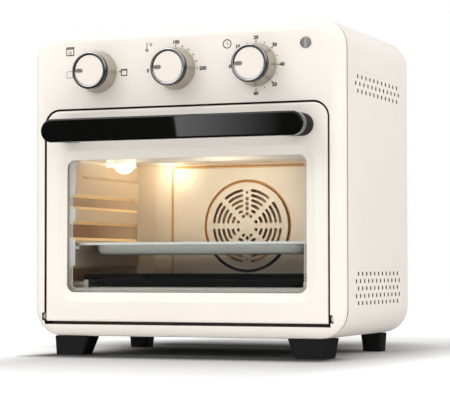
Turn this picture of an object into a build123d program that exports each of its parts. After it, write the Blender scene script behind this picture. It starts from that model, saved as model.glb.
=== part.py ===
from build123d import *
import os
from math import asin, atan2, degrees, hypot

os.makedirs("parts", exist_ok=True)

# Body: depths run back from the face of the front frame, heights up from its underside
body_width = 340.0
body_height = 316.0
body_depth = 223.0
body_corner = 29.0
foot_height = 19.7
handle_reach = 37.0
motor_cover_depth = 46.0
total_depth = handle_reach + body_depth + motor_cover_depth
face_y = handle_reach - total_depth / 2
half_width = body_width / 2
mid_height = body_height / 2

# Front frame
bezel_depth = 14.0
bezel_wall = 2.5
bezel_front_radius = 12.5
bezel_jamb = 2.0
seam_width = 1.2
seam_depth = 0.8
stand_off_radius = 4.0

# Wrap, base and rear sheets
sheet = 1.2
wrap_inset = 0.15
wrap_rear_radius = 4.0
rear_lip = 18.0
base_half_width = half_width - 30.0
base_opening_half = half_width - 50.0

# Door
door_width = body_width - 30.0
door_bottom = 14.8
door_top = 233.2
door_top_radius = 16.0
door_bottom_radius = 2.5
opening_bottom_radius = 5.0
door_depth = 13.0
door_wall = 2.0
door_edge_radius = 3.0
door_gap = 1.3
door_bottom_gap = 2.6
window_width = door_width - 47.0
window_bottom = 45.0
window_top = 181.5
window_radius = 8.5
bevel_width = 9.5
bevel_depth = 2.6
glass_border = 8.0
glass_thickness = 3.5
gasket_thickness = 0.7
hinge_depth = 6.5
hinge_height = 20.2
hinge_pin_radius = 2.5
hinge_ear_radius = 3.4
hinge_eye = 3.7
hinge_plate = 2.0
running_clearance = 0.05
free_clearance = 0.3

# Handle
handle_width = door_width - 26.0
handle_height = 24.0
handle_middle = 209.5
handle_root_width = handle_width - 4.4
handle_root_height = handle_height - 1.6
handle_root_middle = handle_middle + 1.1
handle_bar_depth = 14.0
handle_post_width = 26.0
handle_edge_radius = 2.0

# Controls
knob_middle_x = -7.5
knob_pitch = 87.5
knob_height = 271.3
knob_base_radius = 21.7
knob_neck_radius = 18.9
knob_face_radius = 15.5
knob_reach = 21.0
knob_ring_depth = 6.0
knob_ring_radius = 19.2
spindle_radius = 3.0
panel_hole_radius = 4.0
lamp_x = half_width - 38.0
lamp_rise = 20.0
lamp_height = knob_height + lamp_rise
lamp_radius = 5.8

# Cooking space, inside faces
flange_front = 16.5
cavity_half = half_width - 34.0
cavity_floor_height = 32.0
cavity_roof_height = 205.0
rear_roof_height = 185.5
roof_step_front = 121.0
roof_step_rear = 127.0
cavity_back = 194.0
corner_start = 184.5
corner_half = cavity_half - 17.4
mouth_bottom = 50.5
mouth_top = 203.0
panel_rise = 4.5
panel_slope = 3.0
panel_front = 19.0
panel_rear = 181.0
panel_levels = ((144.2, 184.5), (116.0, 134.8), (69.8, 102.2))
runner_top = 93.6
runner_reach = 9.0
low_runner_top = 56.0
low_runner_reach = 15.0
low_runner_thickness = low_runner_top - mouth_bottom
runner_thickness = 4.5

# Fan and motor, on one axis
fan_x = -4.8
fan_height = 116.4
grille_radius = 48.0
grille_hole_radius = 44.0
grille_bead_width = 2.8
back_panel_half = cavity_half - 39.0
back_panel_rise = 3.0
fan_cup_radius = 54.0
fan_cup_depth = 22.0
fan_radius = 40.0
shaft_radius = 2.5
rotor_radius = 13.0
rotor_gap = 0.4
motor_width = 62.0

# Trays
tray_half = cavity_half - 6.0
tray_front = 21.0
tray_rear = 176.0
tray_border = 14.0
tray_rim_top = 96.6
tray_bottom = 84.3
tray_sheet = 1.0
tray_roll = 2.7
drip_half = cavity_half - 12.0
drip_front = 23.0
drip_rear = 176.0
drip_rim_top = 58.3
drip_bottom = 50.9
drip_lip_rise = 5.5

seated = (Align.CENTER, Align.CENTER, Align.MIN)
hung = (Align.CENTER, Align.CENTER, Align.MAX)


def facing(x, depth, height):
    # a plane that faces the user, with its origin at this point of the body
    return Plane(origin=(x, face_y + depth, foot_height + height), x_dir=(1, 0, 0), z_dir=(0, -1, 0))


def behind(depth):
    return facing(0, depth, 0)


def level(height):
    return Plane(origin=(0, face_y, foot_height + height))


def across(x):
    # a plane that faces right, with depth along its first axis and height along its second
    return Plane(origin=(x, face_y, foot_height), x_dir=(0, 1, 0), z_dir=(1, 0, 0))


def spot(x, depth, height, direction):
    return Plane(origin=(x, face_y + depth, foot_height + height), z_dir=direction)


def upright_plate(sketch, width, bottom, top, top_radius, bottom_radius):
    with Locations((0, (bottom + top) / 2)):
        Rectangle(width, top - bottom)
    fillet(sketch.vertices().group_by(Axis.Y)[-1], top_radius)
    fillet(sketch.vertices().group_by(Axis.Y)[0], bottom_radius)


def door_shape(sketch, inset):
    # the door's outline, moved in by an inset: large upper corners, small lower ones
    upright_plate(
        sketch, door_width - 2 * inset, door_bottom + inset, door_top - inset,
        door_top_radius - inset, door_bottom_radius,
    )


def opening_shape(sketch):
    upright_plate(
        sketch, door_width + 2 * door_gap, door_bottom - door_bottom_gap, door_top + door_gap,
        door_top_radius + door_gap, opening_bottom_radius,
    )


def window_shape(margin):
    with Locations((0, (window_bottom + window_top) / 2)):
        RectangleRounded(
            window_width + 2 * margin, window_top - window_bottom + 2 * margin, window_radius + margin
        )


def screws(spots, head_radius, head_height, shank_radius, length):
    # each spot's Z axis points out of the screw's head
    with Locations(*spots):
        Cylinder(head_radius, head_height, align=seated)
        Cylinder(shank_radius, length, align=hung)
    drive_depth = head_height * 0.6
    drive_width = head_radius * 0.3
    with Locations(*[place.offset(head_height) for place in spots]):
        Box(head_radius * 1.2, drive_width, drive_depth, align=hung, mode=Mode.SUBTRACT)
        Box(drive_width, head_radius * 1.2, drive_depth, align=hung, mode=Mode.SUBTRACT)


# Front frame: one moulding round the door, with the control panel above it
with BuildPart() as bezel_hollow:
    with BuildSketch(behind(bezel_depth)):
        with Locations((0, mid_height)):
            RectangleRounded(
                body_width - 2 * bezel_wall, body_height - 2 * bezel_wall, body_corner - bezel_wall
            )
    extrude(amount=bezel_depth - bezel_wall)
    fillet(bezel_hollow.faces().sort_by(Axis.Y)[0].edges(), bezel_front_radius - bezel_wall)
    with BuildSketch(behind(bezel_depth)) as jamb_line:
        opening_shape(jamb_line)
        offset(amount=bezel_jamb)
    extrude(amount=bezel_depth, mode=Mode.SUBTRACT)

knob_places = {
    "mode": knob_middle_x - knob_pitch,
    "temperature": knob_middle_x,
    "timer": knob_middle_x + knob_pitch,
}
stand_off_places = [
    (x, height)
    for x in (
        knob_middle_x - 1.5 * knob_pitch,
        knob_middle_x - knob_pitch / 2,
        knob_middle_x + knob_pitch / 2,
        knob_middle_x + 1.35 * knob_pitch,
    )
    for height in (knob_height - 20, knob_height + 20)
]
bracket_front = bezel_depth + 4.0
ear_notch = hinge_eye + free_clearance
ear_end = door_width / 2 + door_gap + 0.2
hinge_plate_inner = ear_end + free_clearance
notch_end = hinge_plate_inner + hinge_plate + free_clearance

with BuildPart() as front_bezel:
    with BuildSketch(behind(bezel_depth)):
        with Locations((0, mid_height)):
            RectangleRounded(body_width, body_height, body_corner)
    extrude(amount=bezel_depth)
    fillet(front_bezel.faces().sort_by(Axis.Y)[0].edges(), bezel_front_radius)
    add(bezel_hollow.part, mode=Mode.SUBTRACT)
    with BuildSketch(behind(flange_front)) as jamb_ring:
        opening_shape(jamb_ring)
        offset(amount=bezel_jamb)
    extrude(amount=flange_front - bezel_wall)
    with BuildSketch(behind(bracket_front)):
        with Locations(*stand_off_places):
            Circle(stand_off_radius)
    extrude(amount=bracket_front - bezel_wall)
    with BuildSketch(behind(bracket_front)) as door_hole:
        opening_shape(door_hole)
    extrude(amount=bracket_front + 1, mode=Mode.SUBTRACT)
    with BuildSketch(behind(bezel_wall)):
        with Locations(*[(x, knob_height) for x in knob_places.values()]):
            Circle(panel_hole_radius)
        with Locations((lamp_x, lamp_height)):
            Circle(lamp_radius)
    extrude(amount=bezel_wall + 1, mode=Mode.SUBTRACT)
    with BuildSketch(behind(flange_front)):
        with Locations((0, hinge_height)):
            RectangleRounded(2 * notch_end, 2 * ear_notch, 1.5)
    extrude(amount=flange_front + 1, mode=Mode.SUBTRACT)
    with BuildSketch(behind(bezel_depth)):
        with Locations((0, mid_height)):
            Rectangle(body_width + 2, body_height + 2)
            RectangleRounded(
                body_width - 2 * seam_depth, body_height - 2 * seam_depth, body_corner - seam_depth,
                mode=Mode.SUBTRACT,
            )
    extrude(amount=seam_width, mode=Mode.SUBTRACT)
front_bezel.part.label = "front_bezel"
export_step(front_bezel.part, "parts/front_bezel.step")

# Wrap: one painted sheet over the top and sides, turned in under the base and at the rear
wrap_width = body_width - 2 * wrap_inset
wrap_height = body_height - 2 * wrap_inset
wrap_corner = body_corner - wrap_inset
with BuildPart() as wrap_hollow:
    with BuildSketch(behind(body_depth - sheet)):
        with Locations((0, mid_height)):
            RectangleRounded(wrap_width - 2 * sheet, wrap_height - 2 * sheet, wrap_corner - sheet)
    extrude(amount=body_depth - sheet - bezel_depth)
    fillet(wrap_hollow.faces().sort_by(Axis.Y)[-1].edges(), wrap_rear_radius - sheet)

slot_width = 2.2
slot_height = 4.0
slot_radius = 0.7
slot_first = 48.9
slot_pitch = 13.32
slot_count = 11
upper_rows = (261.2, 253.9, 246.6)
lower_rows = (64.1, 56.8, 49.5, 42.1, 34.8)
vent_panel_front = 36.0
vent_panel_rear = 194.5
vent_panel_margin = 6.2
vent_panel_radius = 6.0
vent_panel_depth = 0.3


def vent_rows(rows):
    # rows of slots, where every second row has one slot more and starts half a pitch earlier
    for index, height in enumerate(rows):
        extra = index % 2
        count = slot_count + extra
        first = slot_first - extra * slot_pitch / 2
        with Locations(*[(first + step * slot_pitch, height) for step in range(count)]):
            RectangleRounded(slot_width, slot_height, slot_radius)


with BuildPart() as wrap_cover:
    with BuildSketch(behind(body_depth)):
        with Locations((0, mid_height)):
            RectangleRounded(wrap_width, wrap_height, wrap_corner)
    extrude(amount=body_depth - bezel_depth)
    fillet(wrap_cover.faces().sort_by(Axis.Y)[-1].edges(), wrap_rear_radius)
    add(wrap_hollow.part, mode=Mode.SUBTRACT)
    with BuildSketch(behind(body_depth)):
        with Locations((0, mid_height)):
            RectangleRounded(
                wrap_width - 2 * rear_lip, wrap_height - 2 * rear_lip, wrap_corner - rear_lip / 2
            )
    extrude(amount=2 * sheet, mode=Mode.SUBTRACT)
    with BuildSketch(level(0)):
        with Locations((0, body_depth / 2)):
            Rectangle(2 * base_opening_half, body_depth + 2)
    extrude(amount=wrap_inset + 2 * sheet, mode=Mode.SUBTRACT)
    for side in (-1, 1):
        with BuildSketch(across(side * (wrap_width / 2 - vent_panel_depth))):
            for rows in (upper_rows, lower_rows):
                with Locations(((vent_panel_front + vent_panel_rear) / 2, (rows[0] + rows[-1]) / 2)):
                    RectangleRounded(
                        vent_panel_rear - vent_panel_front,
                        rows[0] - rows[-1] + 2 * vent_panel_margin,
                        vent_panel_radius,
                    )
        extrude(amount=side * vent_panel_depth * 2, mode=Mode.SUBTRACT)
    with BuildSketch(across(0)):
        vent_rows(upper_rows)
        vent_rows(lower_rows)
    extrude(amount=body_width, both=True, mode=Mode.SUBTRACT)
    front_foot_screw = (half_width - 42.0, 26.0)
    rear_foot_screw = (half_width - 35.0, 200.0)
    foot_screws = [
        (side * x, depth) for side in (-1, 1) for x, depth in (front_foot_screw, rear_foot_screw)
    ]
    screw_hole_radius = 2.1
    with BuildSketch(level(0)):
        with Locations(*foot_screws):
            Circle(screw_hole_radius)
    extrude(amount=wrap_inset + 2 * sheet, mode=Mode.SUBTRACT)
    rear_screw_inset = 12.0
    rear_screws = [
        (side * (wrap_width / 2 - rear_screw_inset), height) for side in (-1, 1) for height in (45.0, 271.0)
    ] + [
        (side * 70.0, height)
        for side in (-1, 1)
        for height in (wrap_inset + rear_screw_inset, body_height - wrap_inset - rear_screw_inset)
    ]
    with BuildSketch(behind(body_depth)):
        with Locations(*rear_screws):
            Circle(screw_hole_radius)
    extrude(amount=2 * sheet, mode=Mode.SUBTRACT)
wrap_cover.part.label = "wrap_cover"
export_step(wrap_cover.part, "parts/wrap_cover.step")

# Base plate, lying on the wrap's turned-in edges
base_bottom = wrap_inset + sheet
base_top = base_bottom + sheet
base_front = bezel_depth + 0.5
base_rear = body_depth - wrap_rear_radius - 1
with BuildPart() as base_plate:
    with BuildSketch(level(base_bottom)):
        with Locations((0, (base_front + base_rear) / 2)):
            Rectangle(2 * base_half_width, base_rear - base_front)
        with Locations(*foot_screws):
            Circle(screw_hole_radius, mode=Mode.SUBTRACT)
        with Locations((0, (base_front + base_rear) / 2)):
            with GridLocations(26.0, 12.0, 7, 9):
                SlotOverall(18.0, 3.0, mode=Mode.SUBTRACT)
    extrude(amount=sheet)
base_plate.part.label = "base_plate"
export_step(base_plate.part, "parts/base_plate.step")

# Feet: tapered blocks, a large pair in front and a small pair behind
foot_pad = wrap_inset
foot_bore_radius = 4.5
foot_web = 6.0
foot_edge_radius = 2.0
front_foot_top = (half_width - 61.1, half_width - 21.8, 8.0, 34.0, 53.5)
front_foot_end = (half_width - 53.2, half_width - 22.9, 9.0, 32.5, 45.0)
rear_foot_top = (half_width - 44.0, half_width - 21.5, 189.0, 212.5, 212.5)
rear_foot_end = (half_width - 42.0, half_width - 22.5, 190.5, 210.5, 210.5)


def foot_plan(sketch, side, edges, front_edge=0.0, margin=0.0):
    # edges give the inner side, the outer side, the front, and the rear at each of these sides
    inner, outer, front, inner_rear, outer_rear = edges
    near = max(front + margin, front_edge)
    Polygon(
        (side * (inner + margin), near),
        (side * (outer - margin), near),
        (side * (outer - margin), outer_rear - margin),
        (side * (inner + margin), inner_rear - margin),
        align=None,
    )
    fillet(sketch.vertices(), foot_edge_radius)


def foot_bore(side, screw):
    with Locations(spot(side * screw[0], screw[1], -foot_height, (0, 0, 1))):
        Cylinder(foot_bore_radius, foot_height - foot_web, align=seated, mode=Mode.SUBTRACT)
        Cylinder(screw_hole_radius, foot_height + 2 * foot_pad, align=seated, mode=Mode.SUBTRACT)


with BuildPart() as front_feet:
    for side in (-1, 1):
        with BuildSketch(level(0)) as front_foot_upper:
            foot_plan(front_foot_upper, side, front_foot_top)
        with BuildSketch(level(-foot_height)) as front_foot_lower:
            foot_plan(front_foot_lower, side, front_foot_end)
        loft()
        with BuildSketch(level(0)) as front_foot_pad:
            foot_plan(front_foot_pad, side, front_foot_top, base_front, 2.0)
        extrude(amount=foot_pad)
        foot_bore(side, front_foot_screw)
front_feet.part.label = "front_feet"
export_step(front_feet.part, "parts/front_feet.step")

with BuildPart() as rear_feet:
    for side in (-1, 1):
        with BuildSketch(level(0)) as rear_foot_upper:
            foot_plan(rear_foot_upper, side, rear_foot_top)
        with BuildSketch(level(-foot_height)) as rear_foot_lower:
            foot_plan(rear_foot_lower, side, rear_foot_end)
        loft()
        with BuildSketch(level(0)) as rear_foot_pad:
            foot_plan(rear_foot_pad, side, rear_foot_top, margin=2.0)
        extrude(amount=foot_pad)
        foot_bore(side, rear_foot_screw)
rear_feet.part.label = "rear_feet"
export_step(rear_feet.part, "parts/rear_feet.step")

# Rear cover: a flat sheet with a box over the motor
motor_box_width = 190.0
motor_box_height = 176.0
motor_box_radius = 14.0
motor_box_x = 0.0
gland_x = half_width - 42.0
gland_height = 34.0
gland_radius = 6.5
rear_cover_width = wrap_width - 12.0
rear_cover_height = wrap_height - 12.0
rear_cover_corner = wrap_corner - 6.85
motor_box_edge = 8.0
rear_cover_rear = body_depth + sheet
motor_box_rear = body_depth + motor_cover_depth
with BuildPart() as rear_cover:
    with BuildSketch(behind(rear_cover_rear)):
        with Locations((0, mid_height)):
            RectangleRounded(rear_cover_width, rear_cover_height, rear_cover_corner)
    extrude(amount=sheet)
    with BuildSketch(behind(motor_box_rear)):
        with Locations((motor_box_x, fan_height)):
            RectangleRounded(motor_box_width, motor_box_height, motor_box_radius)
    extrude(amount=motor_cover_depth - sheet)
    fillet(rear_cover.faces().sort_by(Axis.Y)[-1].edges(), motor_box_edge)
    with BuildPart(mode=Mode.PRIVATE) as motor_box_hollow:
        with BuildSketch(behind(motor_box_rear - sheet)):
            with Locations((motor_box_x, fan_height)):
                RectangleRounded(
                    motor_box_width - 2 * sheet, motor_box_height - 2 * sheet, motor_box_radius - sheet
                )
        extrude(amount=motor_cover_depth)
        fillet(motor_box_hollow.faces().sort_by(Axis.Y)[-1].edges(), motor_box_edge - sheet)
    add(motor_box_hollow.part, mode=Mode.SUBTRACT)
    with BuildSketch(behind(motor_box_rear)):
        with Locations((motor_box_x, fan_height)):
            with GridLocations(62.0, 9.0, 2, 12):
                SlotOverall(52.0, 3.0)
    extrude(amount=2 * sheet, mode=Mode.SUBTRACT)
    with BuildSketch(behind(rear_cover_rear)):
        with Locations(*rear_screws):
            Circle(screw_hole_radius)
        with Locations((gland_x, gland_height)):
            Circle(gland_radius)
        with Locations((0, body_height - 56)):
            with GridLocations(30.0, 9.0, 8, 4):
                SlotOverall(22.0, 3.0)
    extrude(amount=2 * sheet, mode=Mode.SUBTRACT)
rear_cover.part.label = "rear_cover"
export_step(rear_cover.part, "parts/rear_cover.step")

with BuildPart() as cord_gland:
    with BuildSketch(facing(gland_x, rear_cover_rear + 9.0, gland_height)):
        Circle(gland_radius - 0.5)
    extrude(amount=12.0, taper=-1.5)
    with BuildSketch(facing(gland_x, rear_cover_rear + 2.0, gland_height)):
        Circle(gland_radius + 3.0)
    extrude(amount=2.0)
    with BuildSketch(facing(gland_x, rear_cover_rear + 9.0, gland_height)):
        Circle(3.4)
    extrude(amount=4.0, mode=Mode.SUBTRACT)
    with BuildSketch(facing(gland_x, rear_cover_rear, gland_height)):
        Circle(gland_radius + 5.0)
        Circle(gland_radius, mode=Mode.SUBTRACT)
    extrude(amount=sheet, mode=Mode.SUBTRACT)
cord_gland.part.label = "cord_gland"
export_step(cord_gland.part, "parts/cord_gland.step")

screw_head_radius = 3.7
screw_head_height = 2.2
screw_shank_radius = 1.9
with BuildPart() as housing_screws:
    screws(
        [spot(x, rear_cover_rear, height, (0, 1, 0)) for x, height in rear_screws],
        screw_head_radius, screw_head_height, screw_shank_radius, 8.0,
    )
    screws(
        [spot(x, depth, -foot_web, (0, 0, -1)) for x, depth in foot_screws],
        screw_head_radius, screw_head_height, screw_shank_radius, foot_web + base_top + 2.0,
    )
housing_screws.part.label = "housing_screws"
export_step(housing_screws.part, "parts/housing_screws.step")

# Cooking space: two side walls, a stepped roof, a floor with a sill, and a back wall
slant_length = hypot(cavity_half - corner_half, cavity_back - corner_start)
slant_rise = (cavity_back - corner_start) / slant_length
slant_run = (cavity_half - corner_half) / slant_length
outer_start = corner_start + sheet * (1 - slant_rise) / slant_run
outer_end = corner_half + sheet / slant_rise
flange_rear = flange_front + sheet
cavity_outer = cavity_half + sheet
sill_rear = 27.0
well_front = 33.0
panel_middle = (panel_front + panel_rear) / 2
panel_length = panel_rear - panel_front
panel_taper = degrees(atan2(panel_slope, panel_rise))
lamp_recess_front = 37.3
lamp_recess_bottom = 167.3
lamp_recess_radius = 8.0
bulb_x = -(cavity_half - 19.0)
bulb_depth = 110.0
bulb_height = 184.5
bulb_radius = 12.5
bulb_hole_radius = 6.0
rod_radius = 3.2
rod_hole_radius = 4.6
upper_rod_height = 195.5
upper_rod_depths = (32.0, 54.0, 76.0, 98.0)
lower_rod_height = 42.0
lower_rod_depths = (62.0, 142.0)
probe_depth = 150.0
probe_height = 172.0
probe_radius = 1.6
heater_ends = [(depth, upper_rod_height) for depth in (upper_rod_depths[0], upper_rod_depths[-1])]
heater_ends += [(depth, lower_rod_height) for depth in lower_rod_depths]


def inward(side, x):
    # a plane on a side wall that faces into the cooking space: its first axis is depth times minus side
    return Plane(origin=(side * x, face_y, foot_height), x_dir=(0, -side, 0), z_dir=(-side, 0, 0))


def side_panels(side, margin):
    for low, high in panel_levels:
        with Locations((-side * panel_middle, (low + high) / 2)):
            RectangleRounded(panel_length - 2 * margin, high - low - 2 * margin, panel_slope + 1)
    if side < 0:
        # the lamp's recess takes the upper rear part of the top panel
        recess_length = panel_rear + 20.0 - lamp_recess_front
        recess_height = cavity_roof_height - lamp_recess_bottom
        recess_middle = lamp_recess_front - margin + recess_length / 2
        recess_level = lamp_recess_bottom - margin + recess_height / 2
        with Locations((recess_middle, recess_level)):
            RectangleRounded(recess_length, recess_height, lamp_recess_radius, mode=Mode.SUBTRACT)


wall_parts = {}
for side in (-1, 1):
    with BuildPart() as cavity_wall:
        with BuildSketch(level(cavity_floor_height - sheet)):
            with BuildLine():
                Polyline(
                    (side * cavity_half, flange_rear),
                    (side * cavity_half, corner_start),
                    (side * corner_half, cavity_back),
                    (side * outer_end, cavity_back),
                    (side * cavity_outer, outer_start),
                    (side * cavity_outer, flange_rear),
                    close=True,
                )
            make_face()
        extrude(amount=cavity_roof_height - cavity_floor_height + sheet)
        with BuildSketch(across(0)):
            with BuildLine():
                Polyline(
                    (roof_step_front, cavity_roof_height + 1),
                    (roof_step_front, cavity_roof_height),
                    (roof_step_rear, rear_roof_height),
                    (cavity_back + 1, rear_roof_height),
                    (cavity_back + 1, cavity_roof_height + 1),
                    close=True,
                )
            make_face()
        extrude(amount=body_width, both=True, mode=Mode.SUBTRACT)
        with BuildSketch(inward(side, cavity_half)):
            side_panels(side, 0)
        extrude(amount=panel_rise, taper=panel_taper)
        with BuildSketch(inward(side, cavity_outer)):
            side_panels(side, 1.0)
        extrude(amount=panel_rise, taper=panel_taper, mode=Mode.SUBTRACT)
        for top, reach, thickness in (
            (runner_top, runner_reach, runner_thickness),
            (low_runner_top, low_runner_reach, low_runner_thickness),
        ):
            with BuildSketch(inward(side, cavity_outer)):
                with Locations((-side * panel_middle, top - thickness / 2)):
                    RectangleRounded(panel_length - 6, thickness, 1.5)
            extrude(amount=reach + sheet)
            with BuildSketch(inward(side, cavity_outer)):
                with Locations((-side * panel_middle, top - thickness / 2)):
                    Rectangle(panel_length - 6 - 2 * sheet, thickness - 2 * sheet)
            extrude(amount=reach, mode=Mode.SUBTRACT)
        with BuildSketch(inward(side, cavity_outer)):
            if side < 0:
                with Locations((-side * bulb_depth, bulb_height)):
                    Circle(bulb_hole_radius)
            else:
                with Locations(*[(-side * depth, height) for depth, height in heater_ends]):
                    Circle(rod_hole_radius)
                with Locations((-side * probe_depth, probe_height)):
                    Circle(probe_radius + 0.6)
        extrude(amount=panel_rise + 2 * sheet, mode=Mode.SUBTRACT)
    wall_parts[side] = cavity_wall.part
cavity_left_wall = wall_parts[-1]
cavity_left_wall.label = "cavity_left_wall"
export_step(cavity_left_wall, "parts/cavity_left_wall.step")
cavity_right_wall = wall_parts[1]
cavity_right_wall.label = "cavity_right_wall"
export_step(cavity_right_wall, "parts/cavity_right_wall.step")

with BuildPart() as cavity_roof:
    with BuildSketch(across(0)):
        with BuildLine():
            Polyline(
                (flange_rear, cavity_roof_height),
                (roof_step_front, cavity_roof_height),
                (roof_step_rear, rear_roof_height),
                (cavity_back, rear_roof_height),
                (cavity_back, rear_roof_height + sheet),
                (roof_step_rear + sheet * 0.8, rear_roof_height + sheet),
                (roof_step_front + sheet * 0.8, cavity_roof_height + sheet),
                (flange_rear, cavity_roof_height + sheet),
                close=True,
            )
        make_face()
    extrude(amount=cavity_outer, both=True)
    with BuildSketch(level(0)):
        with BuildLine():
            Polyline(
                (-cavity_outer, flange_rear),
                (-cavity_outer, outer_start),
                (-outer_end, cavity_back),
                (outer_end, cavity_back),
                (cavity_outer, outer_start),
                (cavity_outer, flange_rear),
                close=True,
            )
        make_face()
    extrude(amount=body_height, mode=Mode.INTERSECT)
cavity_roof.part.label = "cavity_roof"
export_step(cavity_roof.part, "parts/cavity_roof.step")

with BuildPart() as cavity_floor:
    with BuildSketch(across(0)):
        with BuildLine():
            Polyline(
                (flange_rear, mouth_bottom),
                (sill_rear, mouth_bottom),
                (well_front, cavity_floor_height),
                (cavity_back, cavity_floor_height),
                (cavity_back, cavity_floor_height - sheet),
                (well_front - sheet * 0.8, cavity_floor_height - sheet),
                (sill_rear - sheet * 0.8, mouth_bottom - sheet),
                (flange_rear, mouth_bottom - sheet),
                close=True,
            )
        make_face()
    extrude(amount=cavity_half, both=True)
    with BuildSketch(level(0)):
        with BuildLine():
            Polyline(
                (-cavity_half, flange_rear),
                (-cavity_half, corner_start),
                (-corner_half, cavity_back),
                (corner_half, cavity_back),
                (cavity_half, corner_start),
                (cavity_half, flange_rear),
                close=True,
            )
        make_face()
    extrude(amount=body_height, mode=Mode.INTERSECT)
cavity_floor.part.label = "cavity_floor"
export_step(cavity_floor.part, "parts/cavity_floor.step")

back_half = outer_end + 0.5
back_panel_bottom = 46.0
back_panel_top = 184.0
back_panel_radius = 7.0
back_panel_edge = 3.0
back_rear = cavity_back + sheet
cup_screw_radius = fan_cup_radius + 4.0
cup_screws = PolarLocations(cup_screw_radius, 4, start_angle=45)
with BuildPart() as cavity_back_wall:
    with BuildSketch(behind(back_rear)):
        with Locations((0, (base_top + rear_roof_height + sheet) / 2)):
            Rectangle(2 * back_half, rear_roof_height + sheet - base_top)
    extrude(amount=sheet)
    back_panel_middle = (0, (back_panel_bottom + back_panel_top) / 2)
    with BuildSketch(behind(cavity_back)):
        with Locations(back_panel_middle):
            RectangleRounded(2 * back_panel_half, back_panel_top - back_panel_bottom, back_panel_radius)
    extrude(amount=back_panel_rise, taper=30)
    with BuildSketch(behind(back_rear)):
        with Locations(back_panel_middle):
            RectangleRounded(
                2 * (back_panel_half - back_panel_edge),
                back_panel_top - back_panel_bottom - 2 * back_panel_edge,
                back_panel_radius - back_panel_edge,
            )
        with Locations((fan_x, fan_height)):
            Circle(cup_screw_radius + 4.0, mode=Mode.SUBTRACT)
    extrude(amount=back_panel_rise, mode=Mode.SUBTRACT)
    with BuildSketch(behind(cavity_back)):
        with Locations((fan_x, fan_height)):
            Circle(grille_radius + 0.4 + grille_bead_width)
            Circle(grille_radius + 0.4, mode=Mode.SUBTRACT)
    extrude(amount=back_panel_rise + 1, mode=Mode.SUBTRACT)
    with BuildSketch(behind(back_rear)):
        with Locations((fan_x, fan_height)):
            Circle(grille_hole_radius)
    extrude(amount=back_panel_rise + 2 * sheet, mode=Mode.SUBTRACT)
cavity_back_wall.part.label = "cavity_back_wall"
export_step(cavity_back_wall.part, "parts/cavity_back_wall.step")

flange_half = half_width - 8.0
flange_bottom = 8.0
flange_top = 240.0
striker_x = -(cavity_half - 22.0)
striker_width = 5.0
striker_nose = 40.5
with BuildPart() as cavity_front_flange:
    with BuildSketch(behind(flange_rear)):
        with Locations((0, (flange_bottom + flange_top) / 2)):
            RectangleRounded(2 * flange_half, flange_top - flange_bottom, 22.0)
        with Locations((0, (mouth_bottom + mouth_top) / 2)):
            Rectangle(2 * cavity_half, mouth_top - mouth_bottom, mode=Mode.SUBTRACT)
        with Locations((striker_x, striker_nose + 0.5)):
            Rectangle(striker_width + 2, 10.0, mode=Mode.SUBTRACT)
    extrude(amount=sheet)
cavity_front_flange.part.label = "cavity_front_flange"
export_step(cavity_front_flange.part, "parts/cavity_front_flange.step")

# Fan grille: rings of arc slots between eight spokes, with round holes up the upright spoke
grille_sheet = 1.0
grille_rings = (39.5, 34.0, 28.5, 23.0, 17.3)
grille_slot = 3.2
spoke_half = 2.7
upright_spoke_half = 4.6
spoke_holes = (13.4, 19.2, 24.6, 30.0)
with BuildPart() as fan_grille:
    with BuildSketch(facing(fan_x, cavity_back - back_panel_rise, fan_height)):
        Circle(grille_radius)
        for ring in grille_rings:
            for index in range(8):
                before = upright_spoke_half if index in (2, 6) else spoke_half
                after = upright_spoke_half if index in (1, 5) else spoke_half
                first = 45 * index + degrees(asin((before + grille_slot / 2) / ring))
                last = 45 * (index + 1) - degrees(asin((after + grille_slot / 2) / ring))
                if last - first > 4:
                    slot_arc = Edge.make_circle(ring, start_angle=first, end_angle=last)
                    SlotArc(slot_arc, grille_slot, mode=Mode.SUBTRACT)
        with PolarLocations(11.3, 8, start_angle=22.5):
            Circle(1.9, mode=Mode.SUBTRACT)
        with Locations(*[(0, sign * height) for height in spoke_holes for sign in (-1, 1)]):
            Circle(2.15, mode=Mode.SUBTRACT)
        with Locations(*[(0, sign * 36.8) for sign in (-1, 1)]):
            Circle(1.5, mode=Mode.SUBTRACT)
    extrude(amount=grille_sheet)
fan_grille.part.label = "fan_grille"
export_step(fan_grille.part, "parts/fan_grille.step")

cup_rear = back_rear + fan_cup_depth
with BuildPart() as fan_housing:
    with BuildSketch(facing(fan_x, cup_rear, fan_height)):
        Circle(fan_cup_radius)
    extrude(amount=fan_cup_depth)
    with BuildSketch(facing(fan_x, back_rear + 1, fan_height)):
        Circle(fan_cup_radius + 8)
    extrude(amount=1.0)
    with BuildSketch(facing(fan_x, cup_rear - 1, fan_height)):
        Circle(fan_cup_radius - 1)
    extrude(amount=fan_cup_depth, mode=Mode.SUBTRACT)
    with BuildSketch(facing(fan_x, cup_rear, fan_height)):
        Circle(shaft_radius + 1.5)
    extrude(amount=2.0, mode=Mode.SUBTRACT)
fan_housing.part.label = "fan_housing"
export_step(fan_housing.part, "parts/fan_housing.step")

# Rotating parts on one shaft
blade_front = back_rear + 3.5
blade_rear = cup_rear - 4.0
hub_radius = 7.0
blade_count = 8
with BuildPart() as fan_blade:
    with BuildSketch(facing(fan_x, blade_rear, fan_height)):
        Circle(fan_radius)
    extrude(amount=1.0)
    with BuildSketch(facing(fan_x, blade_rear, fan_height)):
        Circle(hub_radius)
    extrude(amount=blade_rear - blade_front)
    with BuildSketch(facing(fan_x, blade_rear, fan_height)):
        with PolarLocations((hub_radius + fan_radius) / 2, blade_count):
            Rectangle(fan_radius - hub_radius - 0.5, 1.2)
    extrude(amount=blade_rear - blade_front)
    with BuildSketch(facing(fan_x, blade_rear, fan_height)):
        Circle(shaft_radius)
    extrude(amount=blade_rear - blade_front, mode=Mode.SUBTRACT)
fan_blade.part.label = "fan_blade"
export_step(fan_blade.part, "parts/fan_blade.step")

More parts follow.
